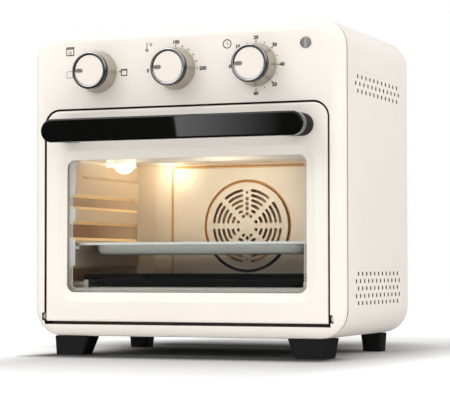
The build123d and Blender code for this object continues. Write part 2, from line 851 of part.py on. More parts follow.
impeller_front = cup_rear + 2.5
impeller_rear = impeller_front + 9.0
impeller_radius = 36.0
with BuildPart() as cooling_impeller:
    with BuildSketch(facing(fan_x, impeller_rear, fan_height)):
        Circle(impeller_radius)
    extrude(amount=1.0)
    with BuildSketch(facing(fan_x, impeller_rear, fan_height)):
        Circle(hub_radius)
        with PolarLocations((hub_radius + impeller_radius) / 2, 9):
            Rectangle(impeller_radius - hub_radius - 0.5, 1.2)
    extrude(amount=impeller_rear - impeller_front)
    with BuildSketch(facing(fan_x, impeller_rear, fan_height)):
        Circle(shaft_radius)
    extrude(amount=impeller_rear - impeller_front, mode=Mode.SUBTRACT)
cooling_impeller.part.label = "cooling_impeller"
export_step(cooling_impeller.part, "parts/cooling_impeller.step")

bracket_sheet = 1.6
stator_depth = 14.0
bracket_plate_front = impeller_rear + 4.0
stator_front = bracket_plate_front + 6.0
stator_rear = stator_front + stator_depth
bracket_plate_rear = stator_rear + 4.0
box_floor = motor_box_rear - sheet
shaft_front = blade_front - 1.5
shaft_rear = bracket_plate_rear + 4.0
with BuildPart() as motor_shaft:
    with BuildSketch(facing(fan_x, shaft_rear, fan_height)):
        Circle(shaft_radius)
    extrude(amount=shaft_rear - shaft_front)
    with BuildSketch(facing(fan_x, stator_rear, fan_height)):
        Circle(rotor_radius)
    extrude(amount=stator_rear - stator_front)
motor_shaft.part.label = "motor_shaft"
export_step(motor_shaft.part, "parts/motor_shaft.step")

stator_top = 22.0
stator_foot = -44.0
core_width = 14.0
core_window_top = -rotor_radius - 7
limb_top = stator_foot + core_width
with BuildPart() as motor_stator:
    with BuildSketch(facing(fan_x, stator_rear, fan_height)):
        with Locations((0, (stator_top + stator_foot) / 2)):
            Rectangle(motor_width, stator_top - stator_foot)
        with Locations((0, (limb_top + core_window_top) / 2)):
            Rectangle(motor_width - 2 * core_width, core_window_top - limb_top, mode=Mode.SUBTRACT)
        Circle(rotor_radius + rotor_gap, mode=Mode.SUBTRACT)
    extrude(amount=stator_rear - stator_front)
motor_stator.part.label = "motor_stator"
export_step(motor_stator.part, "parts/motor_stator.step")

coil_half = 14.0
coil_overhang = 5.0
with BuildPart() as motor_coil:
    with BuildSketch(facing(fan_x, stator_rear + coil_overhang, fan_height)):
        with Locations((0, (core_window_top - 1 + stator_foot - coil_overhang) / 2)):
            RectangleRounded(2 * coil_half, core_window_top - 1 - stator_foot + coil_overhang, 3.0)
    extrude(amount=stator_rear - stator_front + 2 * coil_overhang)
    with BuildSketch(facing(fan_x, stator_rear, fan_height)):
        with Locations((0, (limb_top + stator_foot) / 2)):
            Rectangle(motor_width, core_width)
    extrude(amount=stator_rear - stator_front, mode=Mode.SUBTRACT)
motor_coil.part.label = "motor_coil"
export_step(motor_coil.part, "parts/motor_coil.step")

# Motor bracket: two bridge plates, side columns that clamp the core, and feet on the box
bearing_radius = 6.0
column_width = 3.0
bridge_height = 22.0
with BuildPart() as motor_bracket:
    for rear in (bracket_plate_front + bracket_sheet, bracket_plate_rear):
        with BuildSketch(facing(fan_x, rear, fan_height)):
            Rectangle(motor_width + 2 * column_width, bridge_height)
            Circle(bearing_radius, mode=Mode.SUBTRACT)
        extrude(amount=bracket_sheet)
    with BuildSketch(facing(fan_x, box_floor, fan_height)):
        with Locations(*[(side * (motor_width + column_width) / 2, 0) for side in (-1, 1)]):
            Rectangle(column_width, bridge_height)
    extrude(amount=box_floor - bracket_plate_front)
    with BuildSketch(facing(fan_x, box_floor, fan_height)):
        with Locations(*[(side * (motor_width / 2 + column_width + 5), 0) for side in (-1, 1)]):
            Rectangle(12.0, bridge_height)
            Circle(2.1, mode=Mode.SUBTRACT)
    extrude(amount=bracket_sheet)
motor_bracket.part.label = "motor_bracket"
export_step(motor_bracket.part, "parts/motor_bracket.step")

with BuildPart() as motor_bearings:
    for rear in (bracket_plate_front + bracket_sheet + 1.5, bracket_plate_rear + 1.5):
        with BuildSketch(facing(fan_x, rear, fan_height)):
            Circle(bearing_radius)
            Circle(shaft_radius + running_clearance, mode=Mode.SUBTRACT)
        extrude(amount=bracket_sheet + 3.0)
motor_bearings.part.label = "motor_bearings"
export_step(motor_bearings.part, "parts/motor_bearings.step")

# Heaters: bent sheathed rods whose ends pass through insulators in the right side wall
rod_end = cavity_outer + 10.0
rod_turn = -(cavity_half - 38.0)
rod_return = rod_end - 42.0
low_rod_turn = -(cavity_half - 24.0)
rod_tab_radius = 1.5
rod_tab_length = 8.0
rod_tabs = (upper_rod_depths[0], upper_rod_depths[-1])
with BuildPart() as upper_heater:
    with BuildLine(level(upper_rod_height)) as upper_rod:
        FilletPolyline(
            (rod_end, upper_rod_depths[0]),
            (rod_turn, upper_rod_depths[0]),
            (rod_turn, upper_rod_depths[1]),
            (rod_return, upper_rod_depths[1]),
            (rod_return, upper_rod_depths[2]),
            (rod_turn, upper_rod_depths[2]),
            (rod_turn, upper_rod_depths[3]),
            (rod_end, upper_rod_depths[3]),
            radius=9.0,
        )
    with BuildSketch(Plane(origin=upper_rod.line @ 0, z_dir=upper_rod.line % 0)):
        Circle(rod_radius)
    sweep()
    with Locations(*[spot(rod_end, depth, upper_rod_height, (1, 0, 0)) for depth in rod_tabs]):
        Cylinder(rod_tab_radius, rod_tab_length, align=seated)
upper_heater.part.label = "upper_heater"
export_step(upper_heater.part, "parts/upper_heater.step")

with BuildPart() as lower_heater:
    with BuildLine(level(lower_rod_height)) as lower_rod:
        FilletPolyline(
            (rod_end, lower_rod_depths[0]),
            (low_rod_turn, lower_rod_depths[0]),
            (low_rod_turn, lower_rod_depths[1]),
            (rod_end, lower_rod_depths[1]),
            radius=14.0,
        )
    with BuildSketch(Plane(origin=lower_rod.line @ 0, z_dir=lower_rod.line % 0)):
        Circle(rod_radius)
    sweep()
    with Locations(*[spot(rod_end, depth, lower_rod_height, (1, 0, 0)) for depth in lower_rod_depths]):
        Cylinder(rod_tab_radius, rod_tab_length, align=seated)
lower_heater.part.label = "lower_heater"
export_step(lower_heater.part, "parts/lower_heater.step")

with BuildPart() as heater_insulators:
    with Locations(*[spot(cavity_outer, depth, height, (1, 0, 0)) for depth, height in heater_ends]):
        Cylinder(rod_hole_radius + 2.4, 6.0, align=seated)
        Cylinder(rod_hole_radius, 2.4, align=hung)
        Cylinder(rod_radius, 20.0, mode=Mode.SUBTRACT)
heater_insulators.part.label = "heater_insulators"
export_step(heater_insulators.part, "parts/heater_insulators.step")

# Cooking space lamp in the left side wall
lamp_holder_end = half_width - 11.0
lamp_neck_radius = 4.8
with BuildPart() as lamp_holder:
    with Locations(spot(-cavity_outer, bulb_depth, bulb_height, (-1, 0, 0))):
        Cylinder(bulb_hole_radius + 6.0, 3.0, align=seated)
        Cylinder(lamp_neck_radius + 4.0, lamp_holder_end - cavity_outer, align=seated)
        Cylinder(lamp_neck_radius, lamp_holder_end - cavity_outer - 3.0, align=seated, mode=Mode.SUBTRACT)
lamp_holder.part.label = "lamp_holder"
export_step(lamp_holder.part, "parts/lamp_holder.step")

with BuildPart() as lamp_bulb:
    with Locations((bulb_x, face_y + bulb_depth, foot_height + bulb_height)):
        Sphere(bulb_radius)
    with Locations(spot(bulb_x, bulb_depth, bulb_height, (-1, 0, 0))):
        Cylinder(lamp_neck_radius - 0.3, lamp_holder_end - 6.0 + bulb_x, align=seated)
lamp_bulb.part.label = "lamp_bulb"
export_step(lamp_bulb.part, "parts/lamp_bulb.step")

# Controls behind the panel
control_front = bracket_front
control_rear = control_front + sheet
control_left = -(half_width - 29.0)
control_right = half_width - 51.0
control_bottom = knob_height - 28.3
control_top = knob_height + 33.7
bush_radius = 5.5
with BuildPart() as control_bracket:
    with BuildSketch(behind(control_rear)):
        with Locations(((control_left + control_right) / 2, (control_bottom + control_top) / 2)):
            RectangleRounded(control_right - control_left, control_top - control_bottom, 4.0)
        with Locations(*[(x, knob_height) for x in knob_places.values()]):
            Circle(bush_radius, mode=Mode.SUBTRACT)
    extrude(amount=sheet)
    with BuildSketch(level(control_bottom + sheet)):
        with Locations(((control_left + control_right) / 2, control_front + 6.0)):
            Rectangle(control_right - control_left - 10, 12.0)
    extrude(amount=-sheet)
control_bracket.part.label = "control_bracket"
export_step(control_bracket.part, "parts/control_bracket.step")

spindle_rear = control_rear + 10.0
bush_front = control_front - 2.0
terminal_sheet = 0.8
terminal_width = 6.3
terminal_length = 6.0
switch_width = 36.0
switch_height = 34.0
switch_body_rear = control_rear + 26.0
with BuildPart() as mode_switch:
    with BuildSketch(facing(knob_places["mode"], switch_body_rear, knob_height)):
        RectangleRounded(switch_width, switch_height, 3.0)
    extrude(amount=switch_body_rear - control_rear)
    with BuildSketch(facing(knob_places["mode"], control_rear, knob_height)):
        Circle(bush_radius)
    extrude(amount=control_rear - bush_front)
    with BuildSketch(facing(knob_places["mode"], switch_body_rear + terminal_length, knob_height)):
        with GridLocations(switch_width / 3.6, switch_height / 2.8, 3, 2):
            Rectangle(terminal_sheet, terminal_width)
    extrude(amount=terminal_length)
    with BuildSketch(facing(knob_places["mode"], spindle_rear, knob_height)):
        Circle(spindle_radius + running_clearance)
    extrude(amount=30.0, mode=Mode.SUBTRACT)
mode_switch.part.label = "mode_switch"
export_step(mode_switch.part, "parts/mode_switch.step")

thermostat_x = knob_places["temperature"]
thermostat_rear = control_rear + 20.0
thermostat_width = 42.0
thermostat_height = 32.0
thermostat_cap_radius = 12.0
with BuildPart() as thermostat:
    with BuildSketch(facing(thermostat_x, thermostat_rear, knob_height)):
        RectangleRounded(thermostat_width, thermostat_height, 4.0)
    extrude(amount=thermostat_rear - control_rear)
    with BuildSketch(facing(thermostat_x, control_rear, knob_height)):
        Circle(bush_radius)
    extrude(amount=control_rear - bush_front)
    with BuildSketch(facing(thermostat_x, thermostat_rear + terminal_length, knob_height)):
        Circle(thermostat_cap_radius)
        with Locations(*[(side * (thermostat_width / 2 - 4), 0) for side in (-1, 1)]):
            Rectangle(terminal_width, terminal_sheet)
    extrude(amount=terminal_length)
    with BuildSketch(facing(thermostat_x, spindle_rear, knob_height)):
        Circle(spindle_radius + running_clearance)
    extrude(amount=30.0, mode=Mode.SUBTRACT)
thermostat.part.label = "thermostat"
export_step(thermostat.part, "parts/thermostat.step")

timer_x = knob_places["timer"]
timer_radius = 24.0
timer_rear = control_rear + 32.0
timer_bell_radius = 9.0
timer_bell_depth = 4.0
with BuildPart() as timer:
    with BuildSketch(facing(timer_x, timer_rear, knob_height)):
        Circle(timer_radius)
    extrude(amount=timer_rear - control_rear)
    with BuildSketch(facing(timer_x, control_rear, knob_height)):
        Circle(bush_radius)
    extrude(amount=control_rear - bush_front)
    with BuildSketch(facing(timer_x, timer_rear + terminal_length, knob_height)):
        with Locations(*[(side * timer_radius / 2, timer_radius / 3) for side in (-1, 1)]):
            Rectangle(terminal_width, terminal_sheet)
    extrude(amount=terminal_length)
    with BuildSketch(facing(timer_x, timer_rear + timer_bell_depth, knob_height)):
        with Locations((0, -timer_bell_radius)):
            Circle(timer_bell_radius)
    extrude(amount=timer_bell_depth)
    with BuildSketch(facing(timer_x, spindle_rear, knob_height)):
        Circle(spindle_radius + running_clearance)
    extrude(amount=30.0, mode=Mode.SUBTRACT)
timer.part.label = "timer"
export_step(timer.part, "parts/timer.step")

# Probe of the thermostat: a thin tube from its underside into the cooking space
probe_line_depth = control_rear + 14.0
probe_line_height = cavity_roof_height + 17.0
probe_line_x = cavity_outer + 12.8
tube_radius = 1.2
with BuildPart() as thermostat_probe:
    with BuildLine() as probe_line:
        Polyline(
            (thermostat_x, face_y + probe_line_depth, foot_height + knob_height - thermostat_height / 2),
            (thermostat_x, face_y + probe_line_depth, foot_height + probe_line_height),
            (probe_line_x, face_y + probe_line_depth, foot_height + probe_line_height),
            (probe_line_x, face_y + probe_depth, foot_height + probe_line_height),
            (probe_line_x, face_y + probe_depth, foot_height + probe_height),
            (cavity_outer, face_y + probe_depth, foot_height + probe_height),
        )
    with BuildSketch(Plane(origin=probe_line.line @ 0, z_dir=probe_line.line % 0)):
        Circle(tube_radius)
    sweep(transition=Transition.ROUND)
    with Locations(spot(cavity_outer, probe_depth, probe_height, (-1, 0, 0))):
        Cylinder(probe_radius, 24.0, align=seated)
    with Locations(spot(cavity_outer, probe_depth, probe_height, (1, 0, 0))):
        Cylinder(probe_radius + 2.4, 3.0, align=seated)
thermostat_probe.part.label = "thermostat_probe"
export_step(thermostat_probe.part, "parts/thermostat_probe.step")

# Indicator lamp beside the knobs
indicator_rear = bezel_wall + 20.0
with BuildPart() as indicator_body:
    with BuildSketch(facing(lamp_x, indicator_rear, lamp_height)):
        Circle(lamp_radius - 0.6)
    extrude(amount=indicator_rear - 3.5)
    with BuildSketch(facing(lamp_x, bezel_wall + 2.0, lamp_height)):
        Circle(lamp_radius + 2.2)
    extrude(amount=2.0)
    with BuildSketch(facing(lamp_x, indicator_rear + terminal_length, lamp_height)):
        with Locations((-2.5, 0), (2.5, 0)):
            Rectangle(terminal_sheet, 4.0)
    extrude(amount=terminal_length)
indicator_body.part.label = "indicator_body"
export_step(indicator_body.part, "parts/indicator_body.step")

with BuildPart() as indicator_lens:
    with BuildSketch(facing(lamp_x, bezel_wall, lamp_height)):
        Circle(lamp_radius - 0.05)
    extrude(amount=bezel_wall + 1.2)
    fillet(indicator_lens.faces().sort_by(Axis.Y)[0].edges(), 1.0)
    with BuildSketch(facing(lamp_x, bezel_wall, lamp_height)):
        Circle(lamp_radius - 0.6)
    extrude(amount=bezel_wall - 0.9, mode=Mode.SUBTRACT)
indicator_lens.part.label = "indicator_lens"
export_step(indicator_lens.part, "parts/indicator_lens.step")

# Knobs: skirt, bright ring, pointer and spindle of each
knob_back = -0.6
knob_skirt_front = -(knob_reach - knob_ring_depth)
knob_wall = 2.0
pointer_width = 3.8
pointer_length = 8.0
pointer_rise = 0.5
for name, x in knob_places.items():
    with BuildPart() as knob:
        with BuildSketch(facing(x, knob_back, knob_height)):
            Circle(knob_base_radius)
        with BuildSketch(facing(x, knob_skirt_front, knob_height)):
            Circle(knob_neck_radius)
        loft()
        with BuildSketch(facing(x, knob_back, knob_height)):
            Circle(knob_base_radius - knob_wall)
        with BuildSketch(facing(x, knob_skirt_front + knob_wall, knob_height)):
            Circle(knob_neck_radius - knob_wall + 0.3)
        loft(mode=Mode.SUBTRACT)
        with BuildSketch(facing(x, knob_back, knob_height)):
            Circle(spindle_radius + 2.5)
        extrude(amount=knob_back - knob_skirt_front - 1)
        with BuildSketch(facing(x, knob_skirt_front, knob_height)):
            Circle(knob_face_radius)
        extrude(amount=knob_ring_depth - 0.8)
        with BuildSketch(facing(x, knob_back, knob_height)):
            Circle(spindle_radius)
        extrude(amount=14.0, mode=Mode.SUBTRACT)
    knob.part.label = name + "_knob"
    export_step(knob.part, "parts/" + name + "_knob.step")

    with BuildPart() as knob_ring:
        with BuildSketch(facing(x, knob_skirt_front, knob_height)):
            Circle(knob_ring_radius)
            Circle(knob_face_radius, mode=Mode.SUBTRACT)
        extrude(amount=knob_ring_depth)
        fillet(knob_ring.faces().sort_by(Axis.Y)[0].edges(), 1.4)
        fillet(knob_ring.faces().sort_by(Axis.Y)[-1].edges().sort_by(SortBy.RADIUS)[-1], 0.8)
    knob_ring.part.label = name + "_knob_ring"
    export_step(knob_ring.part, "parts/" + name + "_knob_ring.step")

    with BuildPart() as pointer:
        with BuildSketch(facing(x, -(knob_reach - 0.8), knob_height)):
            with Locations((-knob_face_radius + pointer_length / 2 + 0.2, 0)):
                SlotOverall(pointer_length, pointer_width)
        extrude(amount=pointer_rise)
    pointer.part.label = name + "_pointer"
    export_step(pointer.part, "parts/" + name + "_pointer.step")

    with BuildPart() as spindle:
        with BuildSketch(facing(x, spindle_rear - 0.5, knob_height)):
            Circle(spindle_radius)
        extrude(amount=spindle_rear - 0.5 - knob_back + 14.0)
    spindle.part.label = name + "_spindle"
    export_step(spindle.part, "parts/" + name + "_spindle.step")

# Terminal block and door switch
terminal_x = half_width - 38.0
terminal_depth = 168.0
block_width = 14.0
block_length = 34.0
block_height = 15.0
with BuildPart() as terminal_block:
    with Locations((terminal_x, face_y + terminal_depth, foot_height + base_top)):
        Box(block_width, block_length, block_height, align=seated)
    with BuildSketch(level(base_top + block_height)):
        with Locations((terminal_x, terminal_depth)):
            with GridLocations(block_width, block_length / 3.4, 1, 3):
                Circle(2.6)
    extrude(amount=-5.0, mode=Mode.SUBTRACT)
terminal_block.part.label = "terminal_block"
export_step(terminal_block.part, "parts/terminal_block.step")

switch_bottom = 33.5
switch_top = 48.0
switch_rear = 25.5
switch_length = 22.0
with BuildPart() as door_switch:
    with BuildSketch(behind(switch_rear)):
        with Locations((striker_x, (switch_bottom + switch_top) / 2)):
            Rectangle(switch_length, switch_top - switch_bottom)
    extrude(amount=switch_rear - flange_rear)
    with BuildSketch(behind(switch_rear - 2.0)):
        with Locations((striker_x, striker_nose + 1.0)):
            Rectangle(striker_width + 2, 11.0)
    extrude(amount=switch_rear, mode=Mode.SUBTRACT)
door_switch.part.label = "door_switch"
export_step(door_switch.part, "parts/door_switch.step")

# Door: moulded frame, glass on a gasket, sheet inner panel, handle, hinge pins
glass_front = door_wall + bevel_depth + gasket_thickness - 0.8
glass_rear = glass_front + glass_thickness
gasket_front = glass_front - gasket_thickness
window_rim = 11.5
panel_front_depth = door_depth - 1.5
panel_screw_spots = [
    (side * x, height)
    for side in (-1, 1)
    for x, height in (
        (door_width / 2 - 9.0, 60.0),
        (door_width / 2 - 9.0, 165.0),
        (60.0, door_top - 19.2),
        (60.0, door_bottom + 12.2),
    )
]
handle_post_x = handle_width / 2 - handle_post_width / 2
handle_screw_spots = [(side * handle_post_x, handle_middle) for side in (-1, 1)]
boss_radius = 3.6
panel_screw_radius = 1.5
pin_start = door_width / 2 - 10.0
pin_end = notch_end + 0.9
with BuildPart() as door_frame:
    with BuildSketch(behind(door_depth)) as door_outline:
        door_shape(door_outline, 0)
    extrude(amount=door_depth)
    fillet(door_frame.faces().sort_by(Axis.Y)[0].edges(), door_edge_radius)
    with BuildSketch(behind(door_depth)) as door_inside:
        door_shape(door_inside, door_wall)
    extrude(amount=door_depth - door_wall, mode=Mode.SUBTRACT)
    with BuildSketch(behind(gasket_front)):
        window_shape(window_rim)
    extrude(amount=gasket_front - door_wall)
    with BuildSketch(behind(panel_front_depth)):
        with Locations(*panel_screw_spots):
            Circle(boss_radius)
    extrude(amount=panel_front_depth - door_wall)
    with Locations(*[spot(side * ear_end, hinge_depth, hinge_height, (-side, 0, 0)) for side in (-1, 1)]):
        Cylinder(hinge_ear_radius, ear_end - pin_start, align=seated)
    with BuildSketch(behind(0)):
        window_shape(bevel_width)
    with BuildSketch(behind(bevel_depth)):
        window_shape(0)
    loft(mode=Mode.SUBTRACT)
    with BuildSketch(behind(door_depth)):
        window_shape(0)
    extrude(amount=door_depth + 2, mode=Mode.SUBTRACT)
    with BuildSketch(behind(panel_front_depth)):
        with Locations(*panel_screw_spots):
            Circle(panel_screw_radius)
    extrude(amount=panel_front_depth - door_wall, mode=Mode.SUBTRACT)
    with BuildSketch(behind(door_wall)):
        with Locations(*handle_screw_spots):
            Circle(screw_hole_radius)
    extrude(amount=door_wall + 1, mode=Mode.SUBTRACT)
    with Locations(*[spot(side * pin_end, hinge_depth, hinge_height, (-side, 0, 0)) for side in (-1, 1)]):
        Cylinder(hinge_pin_radius, pin_end - pin_start, align=seated, mode=Mode.SUBTRACT)
door_frame.part.label = "door_frame"
export_step(door_frame.part, "parts/door_frame.step")

with BuildPart() as door_gasket:
    with BuildSketch(behind(glass_front)):
        window_shape(glass_border - 0.5)
        with Locations((0, (window_bottom + window_top) / 2)):
            RectangleRounded(
                window_width + 4, window_top - window_bottom + 4, window_radius + 2, mode=Mode.SUBTRACT
            )
    extrude(amount=gasket_thickness)
door_gasket.part.label = "door_gasket"
export_step(door_gasket.part, "parts/door_gasket.step")

with BuildPart() as door_glass:
    with BuildSketch(behind(glass_rear)):
        window_shape(glass_border)
    extrude(amount=glass_thickness)
door_glass.part.label = "door_glass"
export_step(door_glass.part, "parts/door_glass.step")

panel_gap = 0.15
panel_window = 6.0
panel_ring = 4.0
with BuildPart() as door_inner_panel:
    with BuildSketch(behind(door_depth)) as panel_outline:
        door_shape(panel_outline, door_wall + panel_gap)
    extrude(amount=door_depth - panel_front_depth)
    with BuildSketch(behind(panel_front_depth)):
        window_shape(panel_window + panel_ring)
    extrude(amount=panel_front_depth - glass_rear)
    with BuildSketch(behind(door_depth)):
        window_shape(panel_window)
    extrude(amount=door_depth, mode=Mode.SUBTRACT)
    with BuildSketch(behind(door_depth)):
        with Locations(*panel_screw_spots):
            Circle(screw_hole_radius)
    extrude(amount=door_wall, mode=Mode.SUBTRACT)
door_inner_panel.part.label = "door_inner_panel"
export_step(door_inner_panel.part, "parts/door_inner_panel.step")

post_bore_depth = 12.0
panel_screw_head_radius = 3.0
panel_screw_head_height = 1.2
panel_screw_length = 9.0
with BuildPart() as door_handle:
    with BuildSketch(behind(0)):
        with Locations((0, handle_root_middle)):
            SlotOverall(handle_root_width, handle_root_height)
    with BuildSketch(behind(-handle_reach)):
        with Locations((0, handle_middle)):
            SlotOverall(handle_width, handle_height)
    loft()
    fillet(door_handle.faces().sort_by(Axis.Y)[0].edges(), handle_edge_radius)
    with BuildSketch(behind(0)):
        with Locations((0, handle_middle)):
            RectangleRounded(handle_width - 2 * handle_post_width, 2 * handle_height, 2.0)
    extrude(amount=handle_reach - handle_bar_depth, mode=Mode.SUBTRACT)
    with BuildSketch(behind(0)):
        with Locations(*handle_screw_spots):
            Circle(screw_shank_radius)
    extrude(amount=post_bore_depth, mode=Mode.SUBTRACT)
door_handle.part.label = "door_handle"
export_step(door_handle.part, "parts/door_handle.step")

with BuildPart() as door_screws:
    screws(
        [spot(x, door_depth, height, (0, 1, 0)) for x, height in panel_screw_spots],
        panel_screw_head_radius, panel_screw_head_height, panel_screw_radius, panel_screw_length,
    )
    screws(
        [spot(x, door_wall, height, (0, 1, 0)) for x, height in handle_screw_spots],
        screw_head_radius, screw_head_height, screw_shank_radius, door_wall + post_bore_depth - 1,
    )
door_screws.part.label = "door_screws"
export_step(door_screws.part, "parts/door_screws.step")

with BuildPart() as hinge_pins:
    with Locations(*[spot(side * pin_start, hinge_depth, hinge_height, (side, 0, 0)) for side in (-1, 1)]):
        Cylinder(hinge_pin_radius, pin_end - pin_start, align=seated)
hinge_pins.part.label = "hinge_pins"
export_step(hinge_pins.part, "parts/hinge_pins.step")

with BuildPart() as hinge_brackets:
    for side in (-1, 1):
        with BuildSketch(across(side * hinge_plate_inner)):
            with Locations((hinge_depth, hinge_height)):
                Circle(hinge_eye)
            with Locations(((hinge_depth + flange_front) / 2, hinge_height)):
                Rectangle(flange_front - hinge_depth, 2 * hinge_eye)
            with Locations((hinge_depth, hinge_height)):
                Circle(hinge_pin_radius + running_clearance, mode=Mode.SUBTRACT)
        extrude(amount=side * hinge_plate)
hinge_brackets.part.label = "hinge_brackets"
export_step(hinge_brackets.part, "parts/hinge_brackets.step")

striker_top = 58.0
striker_bottom = 36.0
striker_sheet = 1.5
striker_rear = 21.0
with BuildPart() as door_striker:
    with BuildSketch(behind(door_depth + striker_sheet)):
        with Locations((striker_x, (striker_bottom + striker_top) / 2)):
            Rectangle(striker_width, striker_top - striker_bottom)
    extrude(amount=striker_sheet)
    with BuildSketch(behind(striker_rear)):
        with Locations((striker_x, striker_nose)):
            Rectangle(striker_width - 2, 4.0)
    extrude(amount=striker_rear - door_depth - striker_sheet)
door_striker.part.label = "door_striker"
export_step(door_striker.part, "parts/door_striker.step")

# Trays
tray_middle = (tray_front + tray_rear) / 2
tray_length = tray_rear - tray_front
tray_well_half = tray_half - tray_border
tray_well_length = tray_length - 2 * tray_border
tray_corner = 6.5
tray_fold = 1.2
with BuildPart() as tray_hollow:
    with BuildSketch(level(tray_rim_top)):
        with Locations((0, tray_middle)):
            RectangleRounded(2 * (tray_well_half - tray_sheet), tray_well_length - 2 * tray_sheet, 11.0)
    extrude(amount=tray_bottom + tray_sheet - tray_rim_top)
    fillet(tray_hollow.faces().sort_by(Axis.Z)[0].edges(), 6.0)

with BuildPart() as baking_tray:
    with BuildSketch(level(tray_rim_top)):
        with Locations((0, tray_middle)):
            RectangleRounded(2 * tray_well_half, tray_well_length, 12.0)
    extrude(amount=tray_bottom - tray_rim_top)
    fillet(baking_tray.faces().sort_by(Axis.Z)[0].edges(), 7.0)
    with BuildSketch(level(tray_rim_top)):
        with Locations((0, tray_middle)):
            RectangleRounded(2 * tray_half, tray_length, tray_corner)
    extrude(amount=-tray_sheet)
    with BuildSketch(level(tray_rim_top)):
        with Locations((0, tray_middle)):
            RectangleRounded(2 * tray_half, tray_length, tray_corner)
            RectangleRounded(
                2 * (tray_half - tray_fold), tray_length - 2 * tray_fold, tray_corner - tray_fold,
                mode=Mode.SUBTRACT,
            )
    extrude(amount=-tray_roll)
    add(tray_hollow.part, mode=Mode.SUBTRACT)
baking_tray.part.label = "baking_tray"
export_step(baking_tray.part, "parts/baking_tray.step")

drip_middle = (drip_front + drip_rear) / 2
drip_length = drip_rear - drip_front
drip_border = 13.0
drip_sheet = 1.0
with BuildPart() as drip_tray:
    with BuildSketch(level(drip_rim_top)):
        with Locations((0, drip_middle)):
            RectangleRounded(2 * drip_half, drip_length, 6.0)
    extrude(amount=-(drip_rim_top - low_runner_top - free_clearance))
    with BuildSketch(level(drip_rim_top)):
        with Locations((0, drip_middle)):
            RectangleRounded(2 * (drip_half - drip_border), drip_length - 2 * drip_border, 8.0)
    extrude(amount=drip_bottom - drip_rim_top)
    with BuildSketch(level(drip_rim_top)):
        with Locations((0, drip_middle)):
            RectangleRounded(2 * drip_half, drip_length, 6.0)
            with Locations((0, -drip_sheet)):
                RectangleRounded(
                    2 * (drip_half - drip_sheet), drip_length, 6.0 - drip_sheet, mode=Mode.SUBTRACT
                )
    extrude(amount=drip_lip_rise)
    with BuildSketch(level(drip_rim_top)):
        with Locations((0, drip_middle)):
            RectangleRounded(
                2 * (drip_half - drip_border - drip_sheet), drip_length - 2 * (drip_border + drip_sheet), 7.0
            )
    extrude(amount=drip_bottom + drip_sheet - drip_rim_top, mode=Mode.SUBTRACT)
drip_tray.part.label = "drip_tray"
export_step(drip_tray.part, "parts/drip_tray.step")
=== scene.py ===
import math

import bmesh
import bpy
from mathutils import Matrix, Vector


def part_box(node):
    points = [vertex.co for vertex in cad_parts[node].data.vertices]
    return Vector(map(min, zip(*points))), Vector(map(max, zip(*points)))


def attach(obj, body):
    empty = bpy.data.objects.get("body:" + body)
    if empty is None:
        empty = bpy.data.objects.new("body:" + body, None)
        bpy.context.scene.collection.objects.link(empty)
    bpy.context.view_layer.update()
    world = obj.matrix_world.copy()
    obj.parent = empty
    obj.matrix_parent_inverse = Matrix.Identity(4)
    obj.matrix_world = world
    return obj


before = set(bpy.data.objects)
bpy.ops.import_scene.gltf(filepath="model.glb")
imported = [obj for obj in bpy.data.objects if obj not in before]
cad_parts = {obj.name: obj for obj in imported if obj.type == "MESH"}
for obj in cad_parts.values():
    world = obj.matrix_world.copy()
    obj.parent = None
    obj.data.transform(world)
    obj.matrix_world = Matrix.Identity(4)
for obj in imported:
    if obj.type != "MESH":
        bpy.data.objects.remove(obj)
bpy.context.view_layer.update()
print("frame loaded")

mm = 0.001
scene = bpy.context.scene
scene.view_settings.view_transform = "Standard"

# the body's own places: its front face and underside
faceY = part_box("door_frame")[0][1]
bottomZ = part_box("front_bezel")[0][2]


# millimetres right of the middle, behind the front face and above the underside
def place(x, depth, height):
    return Vector((x * mm, faceY + depth * mm, bottomZ + height * mm))


# Camera, as fitted to the photograph's straight edges, in millimetres of the body and degrees
camera = {
    "x": 720.0, "depth": -1647.7, "height": 71.1,
    "turn": 22.24, "rise": 2.11, "roll": -0.06,
    "lens": 143.06, "sensor": 36.0, "nearest": 0.05, "farthest": 40.0,
}


def makeCamera(spec):
    data = bpy.data.cameras.new("camera")
    data.lens = spec["lens"]
    data.sensor_width = spec["sensor"]
    data.clip_start = spec["nearest"]
    data.clip_end = spec["farthest"]
    rig = bpy.data.objects.new("camera", data)
    turn, rise = math.radians(spec["turn"]), math.radians(spec["rise"])
    look = Vector((-math.sin(turn) * math.cos(rise), math.cos(turn) * math.cos(rise), math.sin(rise)))
    rig.location = place(spec["x"], spec["depth"], spec["height"])
    rig.rotation_mode = "QUATERNION"
    roll = Matrix.Rotation(math.radians(spec["roll"]), 4, "Z").to_quaternion()
    rig.rotation_quaternion = look.to_track_quat("-Z", "Y") @ roll
    scene.collection.objects.link(rig)
    scene.camera = rig


makeCamera(camera)
print("camera placed")

